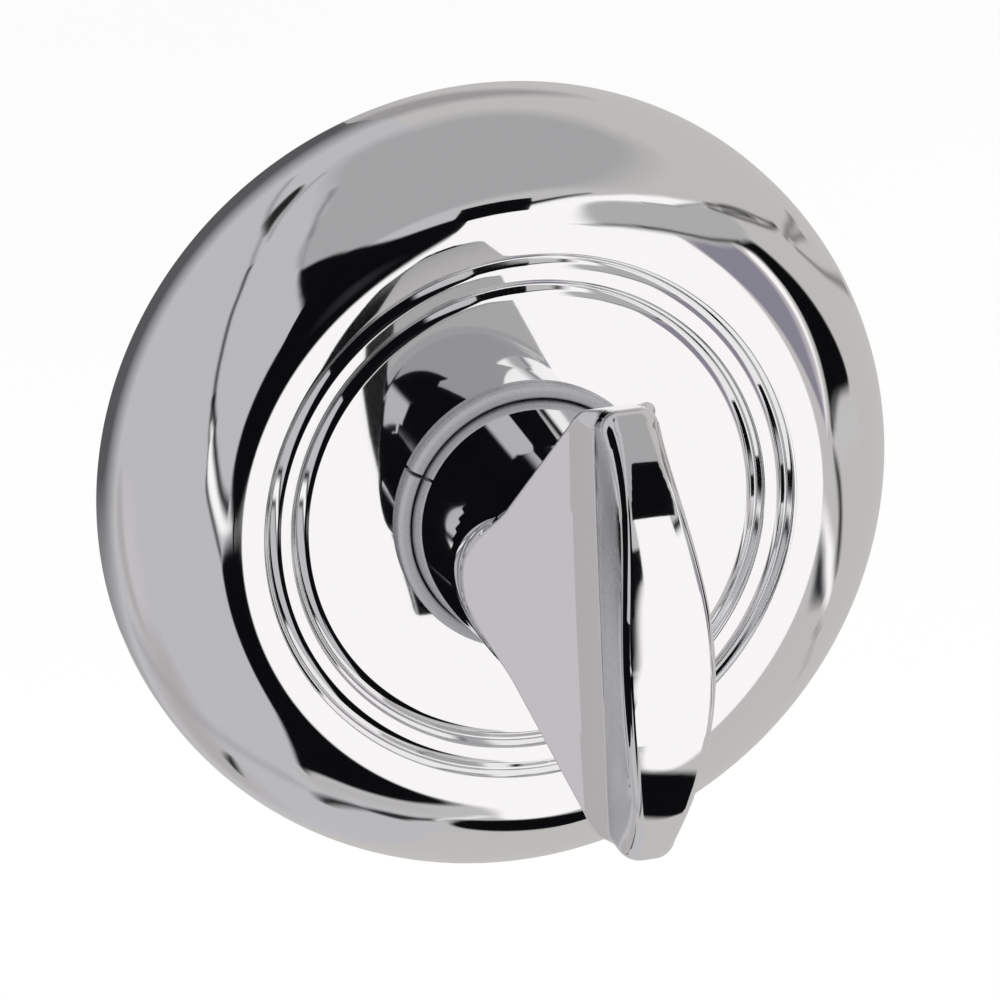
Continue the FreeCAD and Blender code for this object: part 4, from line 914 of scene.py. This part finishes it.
light_tent = mesh_object("light_tent", tent_points, grid_faces(rows, columns))
paint = light_tent.data.color_attributes.new("cloth", "FLOAT_COLOR", "POINT")
tent_colours = np.concatenate([tent, np.ones((rows, columns, 1))], axis=-1)
paint.data.foreach_set("color", tent_colours.ravel())
cloth = Finish("tent_cloth")
painted = cloth.node("ShaderNodeAttribute", {"attribute_name": "cloth"}).out("Color")
reflected_only(light_tent, cloth, painted)


def flag(name, colour, corners):
    """A small card of cloth on four corners, given in millimetres."""
    card = mesh_object(name, np.array(corners) * MM, [[0, 1, 2, 3]])
    reflected_only(card, Finish(name), colour + (1.0,))


# three small cards close to the blade's front edge, and two dark ones at the left for the neck
flag("low_white_card", LIGHT, [(6, -88, -60), (30, -88, -60), (26, -88, 24), (9, -88, 24)])
flag("white_card", LIGHT, [(9, -88, 24), (21, -88, 24), (21, -84.9, 41.3), (9, -84.9, 41.3)])
flag("black_card", DARK, [(4, -84.9, 41.3), (23, -84.9, 41.3), (23, -69.5, 58.8), (4, -69.5, 58.8)])
flag("neck_card", DARK, [(-20, -50, -20), (-20, -24, -20), (-20, -24, 24), (-20, -50, 24)])
flag("heel_card", DARK, [(-20, -92, -36), (-20, -50, -26), (-20, -50, 4), (-20, -92, 4)])

floor_corners = np.array([(-1, -1, 1), (1, -1, 1), (1, 1, 1), (-1, 1, 1)])
floor_corners = floor_corners * (FLOOR_HALF, FLOOR_HALF, FLOOR_DEPTH)
floor = mesh_object("pale_floor", floor_corners, [[0, 1, 2, 3]])
floor_finish = Finish("pale_floor")
floor_tone = floor_finish.mix(floor_finish.noise(3.0), (0.97, 0.97, 0.97, 1.0), (1.0, 1.0, 1.0, 1.0))
floor.data.materials.append(floor_finish.surface(
    floor_finish.node("ShaderNodeBsdfDiffuse", None, {"Color": floor_tone}).out("BSDF")))
floor.visible_glossy = False

lamp = bpy.data.objects.new("soft_lamp", bpy.data.lights.new("soft_lamp", "AREA"))
lamp.data.shape, lamp.data.size, lamp.data.energy = "SQUARE", LAMP_SIZE, LAMP_POWER
lamp.matrix_world = (Matrix.Translation(LAMP_PLACE)
                     @ Vector(LAMP_PLACE).to_track_quat("Z", "Y").to_matrix().to_4x4())
lamp.visible_glossy = False
bpy.context.collection.objects.link(lamp)

world = bpy.data.worlds.new("white_room")
bpy.context.scene.world = world
world.use_nodes = True
room = world.node_tree
room.nodes.clear()
ray = room.nodes.new("ShaderNodeLightPath")
seen = ray.outputs["Is Camera Ray"]
for kind in ("Is Glossy Ray", "Is Transmission Ray"):
    either = room.nodes.new("ShaderNodeMath")
    either.operation = "MAXIMUM"
    room.links.new(seen, either.inputs[0])
    room.links.new(ray.outputs[kind], either.inputs[1])
    seen = either.outputs["Value"]
strength = room.nodes.new("ShaderNodeMapRange")
strength.inputs["To Min"].default_value, strength.inputs["To Max"].default_value = ROOM_LIGHT, 1.0
room.links.new(seen, strength.inputs["Value"])
white = room.nodes.new("ShaderNodeBackground")
white.inputs["Color"].default_value = (1.0, 1.0, 1.0, 1.0)
room.links.new(strength.outputs["Result"], white.inputs["Strength"])
room.links.new(white.outputs["Background"], room.nodes.new("ShaderNodeOutputWorld").inputs["Surface"])
